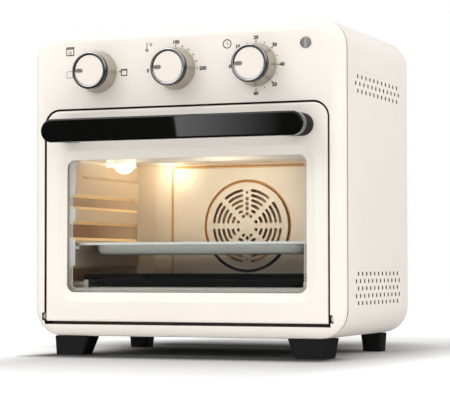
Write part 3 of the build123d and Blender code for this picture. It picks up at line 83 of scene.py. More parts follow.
# Light and room: an even pale studio, with one tall strip light far away on the left.
# Lamps are placed in metres; the floor's shades are in millimetres of the body
lightRig = {
    "skyLow": 0.56, "skyHigh": 1.24, "skyForView": 1.0,
    "glossLow": 0.05, "glossHigh": 0.95, "glossRise": (0.08, 0.5),
    "stripPower": 2.7, "stripFrom": 0.372, "stripTo": 0.443, "stripSlant": 0.14, "stripRise": (0.068, 0.125),
    "keySize": 0.9, "keyPower": 5.3, "keyPlace": (-0.75, -1.15, 1.15), "keyTarget": (0, 0, 0.15),
    "fillSize": 1.0, "fillPower": 6.0, "fillPlace": (1.7, -0.5, 0.9), "fillTarget": (0.1, 0, 0.15),
    "floorColour": (0.93, 0.93, 0.935), "floorForGloss": (0.03, 0.03, 0.03), "floorHalf": 6.0,
    "floorShades": (
        {"middle": 0.0, "half": 150.0, "front": -16.0, "rear": 10.0, "squeeze": 1.6, "reach": 42.0, "deepest": 0.16},
        {"middle": -50.0, "half": 90.0, "front": 250.0, "rear": 292.0, "squeeze": 1.2, "reach": 170.0, "deepest": 0.1},
        {"middle": 34.0, "half": 140.0, "front": 0.0, "rear": 230.0, "squeeze": 5.0, "reach": 450.0, "deepest": 0.5},
    ),
}


# Material helpers. Each adds its nodes and returns the socket with the result
def joinMath(nodes, links, operation, first, second=0):
    step = nodes.new("ShaderNodeMath")
    step.operation = operation
    for socket, value in zip(step.inputs, (first, second)):
        if isinstance(value, (int, float)):
            socket.default_value = value
        else:
            links.new(value, socket)
    return step.outputs[0]


# a value taken from one range to another, and held at its ends
def spread(nodes, links, source, fromLow, fromHigh, toLow, toHigh):
    node = nodes.new("ShaderNodeMapRange")
    for name, value in (("From Min", fromLow), ("From Max", fromHigh), ("To Min", toLow), ("To Max", toHigh)):
        node.inputs[name].default_value = value
    links.new(source, node.inputs["Value"])
    return node.outputs["Result"]


# how far a value lies above a limit, or 0
def beyond(nodes, links, value, limit):
    return joinMath(nodes, links, "MAXIMUM", joinMath(nodes, links, "SUBTRACT", value, limit), 0)


# how far a value lies from a middle, to either side
def awayFrom(nodes, links, value, middle):
    return joinMath(nodes, links, "ABSOLUTE", joinMath(nodes, links, "SUBTRACT", value, middle))


def diagonal(nodes, links, first, second):
    squares = [joinMath(nodes, links, "POWER", value, 2) for value in (first, second)]
    return joinMath(nodes, links, "SQRT", joinMath(nodes, links, "ADD", *squares))


# across, depth and height of the shaded place, in millimetres of the body
def bodyAxes(nodes, links):
    where = nodes.new("ShaderNodeTexCoord")
    axes = nodes.new("ShaderNodeSeparateXYZ")
    links.new(where.outputs["Object"], axes.inputs[0])
    depth = joinMath(nodes, links, "SUBTRACT", axes.outputs["Y"], faceY)
    height = joinMath(nodes, links, "SUBTRACT", axes.outputs["Z"], bottomZ)
    return [joinMath(nodes, links, "DIVIDE", axis, mm) for axis in (axes.outputs["X"], depth, height)]


def between(nodes, links, value, low, high):
    above = joinMath(nodes, links, "GREATER_THAN", value, low)
    return joinMath(nodes, links, "MULTIPLY", above, joinMath(nodes, links, "LESS_THAN", value, high))


def colourMix(nodes, links, factor, first, second):
    mix = nodes.new("ShaderNodeMix")
    mix.data_type = "RGBA"
    links.new(factor, mix.inputs["Factor"])
    for socket, value in ((mix.inputs[6], first), (mix.inputs[7], second)):
        if isinstance(value, tuple):
            socket.default_value = value
        else:
            links.new(value, socket)
    return mix.outputs[2]


def mixShaders(nodes, links, factor, first, second):
    mix = nodes.new("ShaderNodeMixShader")
    for socket, source in zip(mix.inputs, (factor, first, second)):
        links.new(source, socket)
    return mix.outputs[0]


# the strip light by direction: its turn is X over Y, its rise is Z over Y, and its inner edge leans
def stripLight(nodes, links, axes, spec):
    turn = joinMath(nodes, links, "DIVIDE", axes["X"], axes["Y"])
    rise = joinMath(nodes, links, "DIVIDE", axes["Z"], joinMath(nodes, links, "ABSOLUTE", axes["Y"]))
    level = spread(nodes, links, turn, spec["stripFrom"], spec["stripTo"], 0, spec["stripPower"])
    middle = sum(spec["stripRise"]) / 2
    lean = joinMath(nodes, links, "MULTIPLY", joinMath(nodes, links, "SUBTRACT", rise, middle), spec["stripSlant"])
    edge = joinMath(nodes, links, "ADD", lean, spec["stripTo"])
    for test in (
        joinMath(nodes, links, "LESS_THAN", turn, edge),
        joinMath(nodes, links, "GREATER_THAN", rise, spec["stripRise"][0]),
        joinMath(nodes, links, "LESS_THAN", rise, spec["stripRise"][1]),
        joinMath(nodes, links, "LESS_THAN", axes["Y"], 0),
    ):
        level = joinMath(nodes, links, "MULTIPLY", level, test)
    return level


# one sky lights the scene, one shows in glossy surfaces and one is seen by the camera
def makeSky(spec):
    world = bpy.data.worlds.new("sky")
    scene.world = world
    world.use_nodes = True
    nodes, links = world.node_tree.nodes, world.node_tree.links
    nodes.clear()
    out = nodes.new("ShaderNodeOutputWorld")
    path = nodes.new("ShaderNodeLightPath")
    where = nodes.new("ShaderNodeTexCoord")
    axes = nodes.new("ShaderNodeSeparateXYZ")
    links.new(where.outputs["Generated"], axes.inputs[0])
    gloss = spread(nodes, links, axes.outputs["Z"], *spec["glossRise"], spec["glossLow"], spec["glossHigh"])
    gloss = joinMath(nodes, links, "ADD", gloss, stripLight(nodes, links, axes.outputs, spec))
    light = spread(nodes, links, axes.outputs["Z"], 0, 1, spec["skyLow"], spec["skyHigh"])
    lightSky, glossSky, viewSky = [nodes.new("ShaderNodeBackground") for _ in range(3)]
    for sky in (lightSky, glossSky, viewSky):
        sky.inputs["Color"].default_value = (1, 1, 1, 1)
    links.new(light, lightSky.inputs["Strength"])
    links.new(gloss, glossSky.inputs["Strength"])
    viewSky.inputs["Strength"].default_value = spec["skyForView"]
    unseen = mixShaders(nodes, links, path.outputs["Is Glossy Ray"], lightSky.outputs[0], glossSky.outputs[0])
    seen = joinMath(nodes, links, "MAXIMUM", path.outputs["Is Camera Ray"], path.outputs["Is Transmission Ray"])
    links.new(mixShaders(nodes, links, seen, unseen, viewSky.outputs[0]), out.inputs[0])


def areaLamp(name, spec):
    data = bpy.data.lights.new(name + "Lamp", "AREA")
    data.energy = spec[name + "Power"]
    data.size = spec[name + "Size"]
    lamp = bpy.data.objects.new(name + "Lamp", data)
    lamp.location = spec[name + "Place"]
    look = Vector(spec[name + "Target"]) - Vector(spec[name + "Place"])
    lamp.rotation_mode = "QUATERNION"
    lamp.rotation_quaternion = look.to_track_quat("-Z", "Y")
    scene.collection.objects.link(lamp)
    return lamp


# the soft shadow that the body throws on the floor, deepest under it and fading in front
def floorShade(nodes, links, across, depth, spec):
    side = beyond(nodes, links, awayFrom(nodes, links, across, spec["middle"]), spec["half"])
    side = joinMath(nodes, links, "MULTIPLY", side, spec["squeeze"])
    middle, half = (spec["front"] + spec["rear"]) / 2, (spec["rear"] - spec["front"]) / 2
    ahead = beyond(nodes, links, awayFrom(nodes, links, depth, middle), half)
    return spread(nodes, links, diagonal(nodes, links, side, ahead), 0, spec["reach"], spec["deepest"], 1)


def makeFloor(spec):
    mesh = bmesh.new()
    bmesh.ops.create_grid(mesh, x_segments=1, y_segments=1, size=spec["floorHalf"])
    data = bpy.data.meshes.new("floor")
    mesh.to_mesh(data)
    mesh.free()
    floor = bpy.data.objects.new("floor", data)
    scene.collection.objects.link(floor)
    paint = bpy.data.materials.new("floorWhite")
    paint.use_nodes = True
    nodes, links = paint.node_tree.nodes, paint.node_tree.links
    nodes.clear()
    out = nodes.new("ShaderNodeOutputMaterial")
    matt = nodes.new("ShaderNodeBsdfDiffuse")
    path = nodes.new("ShaderNodeLightPath")
    across, depth, _ = bodyAxes(nodes, links)
    share = 1
    for part in spec["floorShades"]:
        share = joinMath(nodes, links, "MULTIPLY", floorShade(nodes, links, across, depth, part), share)
    shaded = colourMix(nodes, links, share, (0, 0, 0, 1), (1, 1, 1, 1))
    seen = colourMix(nodes, links, path.outputs["Is Camera Ray"], (*spec["floorColour"], 1), shaded)
    mirrored = colourMix(nodes, links, path.outputs["Is Glossy Ray"], seen, (*spec["floorForGloss"], 1))
    links.new(mirrored, matt.inputs["Color"])
    links.new(matt.outputs[0], out.inputs[0])
    data.materials.append(paint)


makeSky(lightRig)
areaLamp("key", lightRig)
areaLamp("fill", lightRig).visible_glossy = False
makeFloor(lightRig)
print("light and floor set")


# Finishes. Colours are written as they look, in 0 to 255, and turned into linear ones by the sRGB curve
def colour(red, green, blue):
    def linear(value):
        share = value / 255
        return share / 12.92 if share <= 0.04045 else ((share + 0.055) / 1.055) ** 2.4
    return (linear(red), linear(green), linear(blue), 1.0)


# what a finish has where its own entry says nothing
usualFinish = {
    "metal": 0.0, "coat": 0.0, "coatRough": 0.12, "shine": 0.5, "roughSpan": (-0.03, 0.05), "stretch": (1, 1, 1),
    "mottle": 9.0, "mottleStretch": (1, 1, 1), "mottleDepth": 0.96, "mottleRange": (0.3, 0.7),
    "noiseDetail": 3.0, "bumpHeight": 0.0002,
}

# each finish: base colour, roughness, size of the fine grain, bump, and what the real one has besides
finishes = {
    "creamMoulding": {"base": (252, 245, 235), "rough": 0.34, "grain": 900, "bump": 0.03, "coat": 0.25},
    "creamEnamel": {"base": (246, 239, 230), "rough": 0.36, "grain": 700, "bump": 0.05, "coat": 0.25},
    "creamKnob": {
        "base": (243, 235, 224), "rough": 0.32, "grain": 60, "stretch": (1, 40, 1), "bump": 0.08, "coat": 0.2,
    },
    "platedSheet": {"base": (168, 166, 162), "rough": 0.38, "grain": 260, "bump": 0.1, "metal": 0.9},
    "spangledSheet": {
        "base": (196, 188, 178), "rough": 0.42, "grain": 420, "bump": 0.15, "metal": 0.6,
        "mottle": 620, "mottleDepth": 0.55,
    },
    "cavitySheet": {
        "base": (226, 216, 202), "rough": 0.36, "grain": 160, "stretch": (1, 1, 5), "bump": 0.05, "metal": 0.3,
        "mottle": 30, "mottleDepth": 0.92,
    },
    "wallSheet": {
        "base": (194, 176, 152), "rough": 0.34, "grain": 160, "stretch": (1, 1, 5), "bump": 0.05, "metal": 0.3,
        "mottle": 30, "mottleDepth": 0.92,
    },
    "fanSheet": {"base": (206, 176, 142), "rough": 0.45, "grain": 160, "bump": 0.05, "metal": 0.3},
    "blackMoulding": {"base": (22, 22, 22), "rough": 0.5, "grain": 1400, "bump": 0.12},
    "blackGloss": {"base": (9, 9, 8), "rough": 0.01, "roughSpan": (0, 0.01), "grain": 500, "bump": 0.001},
    "brightChrome": {"base": (186, 186, 188), "rough": 0.07, "grain": 500, "bump": 0.01, "metal": 1.0},
    "pointerGrey": {"base": (120, 118, 116), "rough": 0.4, "grain": 900, "bump": 0.05},
    "turnedSteel": {"base": (170, 170, 172), "rough": 0.3, "grain": 400, "bump": 0.04, "metal": 1.0},
    "greyRubber": {"base": (80, 80, 80), "rough": 0.7, "grain": 900, "bump": 0.1},
    "heaterSheath": {"base": (120, 112, 104), "rough": 0.45, "grain": 300, "bump": 0.1, "metal": 0.8},
    "ceramicWhite": {"base": (228, 222, 210), "rough": 0.7, "grain": 600, "bump": 0.12},
    "trayGrey": {"base": (232, 232, 227), "rough": 0.36, "grain": 420, "bump": 0.05, "metal": 0.4},
    "trayBlack": {"base": (8, 8, 7), "rough": 0.5, "grain": 500, "bump": 0.06, "shine": 0.1},
    "coreSteel": {
        "base": (110, 110, 114), "rough": 0.5, "grain": 60, "stretch": (1, 30, 1), "bump": 0.3, "metal": 0.9,
    },
    "copperWinding": {"base": (176, 104, 58), "rough": 0.4, "grain": 900, "bump": 0.2, "metal": 0.6},
    "sinteredBronze": {"base": (170, 132, 82), "rough": 0.5, "grain": 900, "bump": 0.15, "metal": 0.9},
    "greyMoulding": {"base": (170, 168, 164), "rough": 0.5, "grain": 900, "bump": 0.08},
    "platedScrew": {"base": (178, 176, 172), "rough": 0.3, "grain": 700, "bump": 0.06, "metal": 1.0},
    "lensGrey": {
        "base": (196, 194, 192), "rough": 0.22, "grain": 400, "bump": 0.03, "metal": 0.3, "coat": 0.5,
        "mottle": 420, "mottleStretch": (1, 1, 0.06), "mottleDepth": 0.1,
    },
    "printGrey": {"base": (20, 18, 18), "rough": 0.6, "grain": 1200, "bump": 0.05},
}


def startMaterial(name):
    paint = bpy.data.materials.new(name)
    paint.use_nodes = True
    nodes, links = paint.node_tree.nodes, paint.node_tree.links
    return paint, nodes, links, nodes["Principled BSDF"]


def objectNoise(nodes, links, scale, stretch):
    where = nodes.new("ShaderNodeTexCoord")
    stretched = nodes.new("ShaderNodeMapping")
    stretched.inputs["Scale"].default_value = stretch
    noise = nodes.new("ShaderNodeTexNoise")
    noise.inputs["Scale"].default_value = scale
    noise.inputs["Detail"].default_value = usualFinish["noiseDetail"]
    links.new(where.outputs["Object"], stretched.inputs["Vector"])
    links.new(stretched.outputs["Vector"], noise.inputs["Vector"])
    return noise.outputs["Fac"]


def rampBetween(nodes, links, source, low, high, span):
    ramp = nodes.new("ShaderNodeValToRGB")
    for element, position, tint in zip(ramp.color_ramp.elements, span, (low, high)):
        element.position = position
        element.color = tint
    links.new(source, ramp.inputs["Fac"])
    return ramp.outputs["Color"]


def addBump(nodes, links, shader, source, strength, distance):
    bump = nodes.new("ShaderNodeBump")
    bump.inputs["Strength"].default_value = strength
    bump.inputs["Distance"].default_value = distance
    links.new(source, bump.inputs["Height"])
    links.new(bump.outputs["Normal"], shader.inputs["Normal"])


def plainFinish(name):
    spec = {**usualFinish, **finishes[name]}
    paint, nodes, links, shader = startMaterial(name)
    shader.inputs["Metallic"].default_value = spec["metal"]
    shader.inputs["Coat Weight"].default_value = spec["coat"]
    shader.inputs["Coat Roughness"].default_value = spec["coatRough"]
    shader.inputs["Specular IOR Level"].default_value = spec["shine"]
    broad = objectNoise(nodes, links, spec["mottle"], spec["mottleStretch"])
    fine = objectNoise(nodes, links, spec["grain"], spec["stretch"])
    base = colour(*spec["base"])
    deeper = tuple(channel * spec["mottleDepth"] for channel in base[:3]) + (1.0,)
    links.new(rampBetween(nodes, links, broad, deeper, base, spec["mottleRange"]), shader.inputs["Base Color"])
    low, high = spec["roughSpan"]
    rough = spread(nodes, links, fine, 0, 1, spec["rough"] + low, spec["rough"] + high)
    links.new(rough, shader.inputs["Roughness"])
    addBump(nodes, links, shader, fine, spec["bump"], spec["bumpHeight"])
    return paint


# a plain finish that is shaded by place: the material, its nodes and links, and the place on the body
def placedFinish(base, name):
    paint = plainFinish(base)
    paint.name = name
    nodes, links = paint.node_tree.nodes, paint.node_tree.links
    return paint, nodes, links, bodyAxes(nodes, links)


# another colour where the mask is 1
def paintOver(paint, mask, tint):
    nodes, links = paint.node_tree.nodes, paint.node_tree.links
    shader = nodes["Principled BSDF"]
    before = shader.inputs["Base Color"].links[0].from_socket
    links.new(colourMix(nodes, links, mask, before, colour(*tint)), shader.inputs["Base Color"])


# the seam between the front frame and the wrap is shaded in its groove
seamShade = {"front": (13.9, 15.3), "rear": (12.0, 15.55), "tint": (118, 108, 96)}

# the vent slots: their cut walls and a rim round each slot get painted shade, dark and matt.
# A slot's core and the round about it give the dark place, in millimetres from the slot's middle
slotShade = {
    "dark": (10, 8, 6), "inner": 160.0, "outer": 169.5, "length": (38.0, 193.0),
    "groups": ((30.0, 70.0), (240.0, 268.0)), "levels": ((261.2, 253.9, 246.6), (64.1, 56.8, 49.5, 42.1, 34.8)),
    "first": 48.9, "pitch": 13.32, "count": 11, "core": (1.0, 1.15), "round": 0.85, "farAway": 1000.0, "coat": 0.0,
}


# how far a place is from the core of the nearest slot in one row; every second row has an extra slot
def slotRow(nodes, links, depth, height, level, extra, spec):
    first = spec["first"] - extra * spec["pitch"] / 2
    last = first + (spec["count"] + extra - 1) * spec["pitch"]
    along = joinMath(nodes, links, "PINGPONG", beyond(nodes, links, depth, first), spec["pitch"] / 2)
    for end in (beyond(nodes, links, depth, last), beyond(nodes, links, first, depth)):
        along = joinMath(nodes, links, "MAXIMUM", along, end)
    up = awayFrom(nodes, links, height, level)
    steps = [beyond(nodes, links, value, core) for value, core in zip((along, up), spec["core"])]
    return diagonal(nodes, links, *steps)


def slottedEnamel(spec):
    paint, nodes, links, (across, depth, height) = placedFinish("creamEnamel", "slottedEnamel")
    side = joinMath(nodes, links, "ABSOLUTE", across)
    groups = joinMath(nodes, links, "MAXIMUM", *[between(nodes, links, height, *group) for group in spec["groups"]])
    walls = between(nodes, links, side, spec["inner"], spec["outer"])
    walls = joinMath(nodes, links, "MULTIPLY", walls, between(nodes, links, depth, *spec["length"]))
    walls = joinMath(nodes, links, "MULTIPLY", groups, walls)
    nearest = spec["farAway"]
    for levels in spec["levels"]:
        for index, level in enumerate(levels):
            row = slotRow(nodes, links, depth, height, level, index % 2, spec)
            nearest = joinMath(nodes, links, "MINIMUM", row, nearest)
    rim = joinMath(nodes, links, "LESS_THAN", nearest, spec["round"])
    rim = joinMath(nodes, links, "MULTIPLY", rim, joinMath(nodes, links, "GREATER_THAN", side, spec["inner"]))
    # painted shade in the slot walls and round the slots, made dark, rough and metal below so it reflects little
    dark = joinMath(nodes, links, "MAXIMUM", walls, rim)
    paintOver(paint, dark, spec["dark"])
    paintOver(paint, between(nodes, links, depth, *seamShade["rear"]), seamShade["tint"])
    shader = nodes["Principled BSDF"]
    shader.inputs["Coat Weight"].default_value = spec["coat"]
    before = shader.inputs["Roughness"].links[0].from_socket
    links.new(joinMath(nodes, links, "MAXIMUM", before, dark), shader.inputs["Roughness"])
    links.new(dark, shader.inputs["Metallic"])
    return paint


# the narrow gap round the door is shaded in its depth, on the door's edge and on the frame's jamb
gapShade = {
    "dark": (38, 29, 22), "doorHalf": 155.0, "doorTop": 233.2, "doorBottom": 14.8, "doorRadius": 16.0,
    "gap": 1.3, "bottomGap": 2.6, "edge": 0.75, "doorBand": (0.2, 4.6), "jambDepth": 0.4, "jambWidth": 0.12,
    "ear": (155.0, 159.3), "earRise": (15.9, 24.5),
}

# the lower edge of an outline that has none
farBelow = -1000.0


# how far a place is outside a round-cornered outline, less than 0 inside it
def outlineDistance(nodes, links, across, height, half, top, radius, bottom=farBelow):
    side = joinMath(nodes, links, "ABSOLUTE", across)
    out, up = beyond(nodes, links, side, half - radius), beyond(nodes, links, height, top - radius)
    corner = joinMath(nodes, links, "SUBTRACT", diagonal(nodes, links, out, up), radius)
    return joinMath(nodes, links, "MAXIMUM", corner, joinMath(nodes, links, "SUBTRACT", bottom, height))


def doorMoulding(spec):
    paint, nodes, links, (across, depth, height) = placedFinish("creamMoulding", "doorMoulding")
    away = outlineDistance(
        nodes, links, across, height, spec["doorHalf"], spec["doorTop"], spec["doorRadius"], spec["doorBottom"]
    )
    edge = joinMath(nodes, links, "GREATER_THAN", away, -spec["edge"])
    band = between(nodes, links, depth, *spec["doorBand"])
    paintOver(paint, joinMath(nodes, links, "MULTIPLY", edge, band), spec["dark"])
    return paint


def frameMoulding(spec):
    paint, nodes, links, (across, depth, height) = placedFinish("creamMoulding", "frameMoulding")
    away = outlineDistance(
        nodes, links, across, height, spec["doorHalf"] + spec["gap"], spec["doorTop"] + spec["gap"],
        spec["doorRadius"] + spec["gap"], spec["doorBottom"] - spec["bottomGap"],
    )
    jamb = joinMath(nodes, links, "LESS_THAN", away, spec["jambWidth"])
    side = joinMath(nodes, links, "ABSOLUTE", across)
    ear = between(nodes, links, side, *spec["ear"])
    ear = joinMath(nodes, links, "MULTIPLY", ear, between(nodes, links, height, *spec["earRise"]))
    deep = joinMath(nodes, links, "GREATER_THAN", depth, spec["jambDepth"])
    dark = joinMath(nodes, links, "MULTIPLY", joinMath(nodes, links, "MAXIMUM", jamb, ear), deep)
    paintOver(paint, dark, spec["dark"])
    paintOver(paint, between(nodes, links, depth, *seamShade["front"]), seamShade["tint"])
    return paint


# the pressed panels of the side walls get painted highlights on their slopes and front caps; the sheet between them
# gets painted shade, each shaded band with its share in front and less of it behind
wallShade = {
    "levels": ((144.2, 184.5), (116.0, 134.8), (69.8, 102.2)), "slope": 3.0, "lit": (255, 224, 176),
    "low": ((134.9, 144.1, 0.6), (102.3, 115.9, 1.0), (57.0, 69.7, 1.0)), "bandShade": (128, 92, 58),
    "length": (19.0, 183.0), "fade": (70.0, 175.0), "faded": 0.15,
    "cap": (18.0, 22.3), "capHighlight": (250, 252, 255),
}


def wallSheet(spec):
    paint, nodes, links, (_, depth, height) = placedFinish("wallSheet", "wallSheet")
    front = between(nodes, links, depth, *spec["cap"])
    along = between(nodes, links, depth, *spec["length"])
    # painted shade on the sheet between the panels
    for low, high, share in spec["low"]:
        fade = spread(nodes, links, depth, *spec["fade"], share, spec["faded"] * share)
        band = joinMath(nodes, links, "MULTIPLY", along, between(nodes, links, height, low, high))
        paintOver(paint, joinMath(nodes, links, "MULTIPLY", band, fade), spec["bandShade"])
    # painted highlights on the panels' slopes and on their front caps
    for low, high in spec["levels"]:
        for edge in (low, high - spec["slope"]):
            band = between(nodes, links, height, edge, edge + spec["slope"])
            paintOver(paint, joinMath(nodes, links, "MULTIPLY", along, band), spec["lit"])
        cap = joinMath(nodes, links, "MULTIPLY", front, between(nodes, links, height, low, high))
        paintOver(paint, cap, spec["capHighlight"])
    return paint


# the groove round the fan grille gets a painted gold highlight above and painted shade below, and the panel's edge
# gets painted shade
grooveLightShade = {
    "x": -4.8, "height": 116.4, "inner": 48.2, "outer": 51.4, "ringHighlight": (190, 140, 76), "dark": (30, 25, 20),
    "level": 90.0, "panelHalf": 97.0, "panelMiddle": 115.0, "panelTop": 69.0, "panelRadius": 7.0,
    "panelEdge": (-3.4, 0.6), "edgeShade": (204, 164, 118),
}


def backSheet(spec):
    paint, nodes, links, (across, _, height) = placedFinish("cavitySheet", "backSheet")
    out = joinMath(nodes, links, "SUBTRACT", across, spec["x"])
    up = joinMath(nodes, links, "SUBTRACT", height, spec["height"])
    ring = between(nodes, links, diagonal(nodes, links, out, up), spec["inner"], spec["outer"])
    rise = awayFrom(nodes, links, height, spec["panelMiddle"])
    away = outlineDistance(nodes, links, across, rise, spec["panelHalf"], spec["panelTop"], spec["panelRadius"])
    # painted shade along the panel's edge, the ring's painted highlight, and painted shade on the ring's lower part
    paintOver(paint, between(nodes, links, away, *spec["panelEdge"]), spec["edgeShade"])
    paintOver(paint, ring, spec["ringHighlight"])
    low = joinMath(nodes, links, "LESS_THAN", height, spec["level"])
    paintOver(paint, joinMath(nodes, links, "MULTIPLY", ring, low), spec["dark"])
    return paint


# a knob's skirt is brushed metal, tinted darker as painted shade; its face is plain cream
skirtShade = {"behind": -15.5, "metal": 0.8, "tint": (190, 181, 168)}

# the side of a knob's ring is painted near black as a painted dark reflection; its front edge is bright chrome
ringShade = {"behind": -19.9, "tint": (14, 14, 15)}

# the handle's bar is polished, its roots behind the bar are matt
gripShade = {"behind": -24.0, "rough": 0.8}


def knobFinish(spec):
    paint, nodes, links, (_, depth, _) = placedFinish("creamKnob", "creamKnob")
    skirt = joinMath(nodes, links, "GREATER_THAN", depth, spec["behind"])
    # the skirt's brushed-metal tint, darkened as painted shade
    paintOver(paint, skirt, spec["tint"])
    metal = joinMath(nodes, links, "MULTIPLY", skirt, spec["metal"])
    links.new(metal, nodes["Principled BSDF"].inputs["Metallic"])
    return paint


def ringFinish(spec):
    paint, nodes, links, (_, depth, _) = placedFinish("brightChrome", "brightChrome")
    # painted dark reflection on the ring's side
    paintOver(paint, joinMath(nodes, links, "GREATER_THAN", depth, spec["behind"]), spec["tint"])
    return paint


def gripFinish(spec):
    paint, nodes, links, (_, depth, _) = placedFinish("blackGloss", "blackGloss")
    shader = nodes["Principled BSDF"]
    back = joinMath(nodes, links, "GREATER_THAN", depth, spec["behind"])
    before = shader.inputs["Roughness"].links[0].from_socket
    rough = joinMath(nodes, links, "MAXIMUM", before, joinMath(nodes, links, "MULTIPLY", back, spec["rough"]))
    links.new(rough, shader.inputs["Roughness"])
    return paint


# clear glass with a border of fine printed dots on its inner face
doorPane = {
    "tint": (0.97, 0.98, 0.97, 1), "bend": 1.2, "half": 131.5, "bottom": 45.0, "top": 181.5, "radius": 8.5,
    "border": 4.6, "innerFace": 6.0, "dotPitch": 1.5, "dotSize": 0.62, "dotColour": (214, 210, 204),
}

# the lamp's glass glows warm white
lampGlobe = {"tint": (255, 246, 226), "strength": 1.1, "rough": 0.4, "grain": 300, "bump": 0.05}


# shadow rays and bounced light pass straight through the pane
def glassFinish(name, spec):
    paint, nodes, links, shader = startMaterial(name)
    shader.inputs["Base Color"].default_value = spec["tint"]
    shader.inputs["Roughness"].default_value = 0.0
    shader.inputs["Transmission Weight"].default_value = 1.0
    shader.inputs["IOR"].default_value = spec["bend"]
    through = nodes.new("ShaderNodeBsdfTransparent")
    through.inputs["Color"].default_value = spec["tint"]
    path = nodes.new("ShaderNodeLightPath")
    either = joinMath(nodes, links, "MAXIMUM", path.outputs["Is Shadow Ray"], path.outputs["Is Diffuse Ray"])
    clear = mixShaders(nodes, links, either, shader.outputs[0], through.outputs[0])
    across, depth, height = bodyAxes(nodes, links)
    middle = (spec["bottom"] + spec["top"]) / 2
    rise = awayFrom(nodes, links, height, middle)
    away = outlineDistance(nodes, links, across, rise, spec["half"], spec["top"] - middle, spec["radius"])
    border = joinMath(nodes, links, "GREATER_THAN", away, -spec["border"])
    inner = joinMath(nodes, links, "GREATER_THAN", depth, spec["innerFace"])
    waves = []
    for axis in (across, height):
        step = joinMath(nodes, links, "PINGPONG", axis, spec["dotPitch"] / 2)
        waves.append(joinMath(nodes, links, "POWER", step, 2))
    dot = joinMath(nodes, links, "LESS_THAN", joinMath(nodes, links, "ADD", *waves), spec["dotSize"] ** 2)
    shown = joinMath(nodes, links, "MULTIPLY", joinMath(nodes, links, "MULTIPLY", border, inner), dot)
    dots = nodes.new("ShaderNodeBsdfDiffuse")
    dots.inputs["Color"].default_value = colour(*spec["dotColour"])
    links.new(mixShaders(nodes, links, shown, clear, dots.outputs[0]), nodes["Material Output"].inputs["Surface"])
    return paint


def glowFinish(name, spec):
    paint, nodes, links, shader = startMaterial(name)
    shader.inputs["Base Color"].default_value = colour(*spec["tint"])
    shader.inputs["Roughness"].default_value = spec["rough"]
    shader.inputs["Emission Color"].default_value = colour(*spec["tint"])
    shader.inputs["Emission Strength"].default_value = spec["strength"]
    fine = objectNoise(nodes, links, spec["grain"], usualFinish["stretch"])
    addBump(nodes, links, shader, fine, spec["bump"], usualFinish["bumpHeight"])
    return paint


placed = {
    "doorGlass": glassFinish("doorGlass", doorPane), "lampGlobe": glowFinish("lampGlobe", lampGlobe),
    "slottedEnamel": slottedEnamel(slotShade), "doorMoulding": doorMoulding(gapShade),
    "frameMoulding": frameMoulding(gapShade), "backSheet": backSheet(grooveLightShade),
    "wallSheet": wallSheet(wallShade), "creamKnob": knobFinish(skirtShade),
    "brightChrome": ringFinish(ringShade), "blackGloss": gripFinish(gripShade),
}
materials = {**{name: plainFinish(name) for name in finishes if name not in placed}, **placed}

nodeFinish = {
    "front_bezel": "frameMoulding", "wrap_cover": "slottedEnamel", "base_plate": "platedSheet",
    "rear_cover": "creamEnamel", "front_feet": "blackMoulding", "rear_feet": "blackMoulding",
    "housing_screws": "platedScrew", "cord_gland": "blackMoulding", "cavity_left_wall": "wallSheet",
    "cavity_right_wall": "wallSheet", "cavity_roof": "cavitySheet", "cavity_floor": "spangledSheet",
    "cavity_back_wall": "backSheet", "cavity_front_flange": "spangledSheet", "fan_grille": "cavitySheet",
    "fan_housing": "fanSheet", "fan_blade": "fanSheet", "cooling_impeller": "platedSheet",
    "motor_shaft": "turnedSteel", "motor_stator": "coreSteel", "motor_coil": "copperWinding",
    "motor_bracket": "platedSheet", "motor_bearings": "sinteredBronze", "upper_heater": "heaterSheath",
    "lower_heater": "heaterSheath", "heater_insulators": "ceramicWhite", "lamp_holder": "ceramicWhite",
    "lamp_bulb": "lampGlobe", "control_bracket": "platedSheet", "mode_switch": "greyMoulding",
    "thermostat": "ceramicWhite", "timer": "platedSheet", "thermostat_probe": "copperWinding",
    "indicator_body": "greyMoulding", "indicator_lens": "lensGrey", "terminal_block": "greyMoulding",
    "door_switch": "blackMoulding", "door_frame": "doorMoulding", "door_gasket": "greyRubber",
    "door_glass": "doorGlass", "door_inner_panel": "platedSheet", "door_handle": "blackGloss",
    "door_screws": "platedScrew", "hinge_pins": "turnedSteel", "hinge_brackets": "creamMoulding",
    "door_striker": "platedScrew", "baking_tray": "trayGrey", "drip_tray": "trayBlack",
}
for control in ("mode", "temperature", "timer"):
    nodeFinish[control + "_knob"] = "creamKnob"
    nodeFinish[control + "_knob_ring"] = "brightChrome"
    nodeFinish[control + "_pointer"] = "pointerGrey"
    nodeFinish[control + "_spindle"] = "turnedSteel"

for node, finish in nodeFinish.items():
    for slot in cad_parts[node].material_slots:
        slot.material = materials[finish]
print("finishes set")

# Printed marks round the dials: flat prints in millimetres across and above, then stood up on the panel
printSheet = {
    "height": 270.8, "thickness": 0.05, "lift": 0.03, "bold": 0.24, "dotSegments": 18, "curveSteps": 3,
}


def polar(radius, degrees):
    return radius * math.sin(math.radians(degrees)), radius * math.cos(math.radians(degrees))


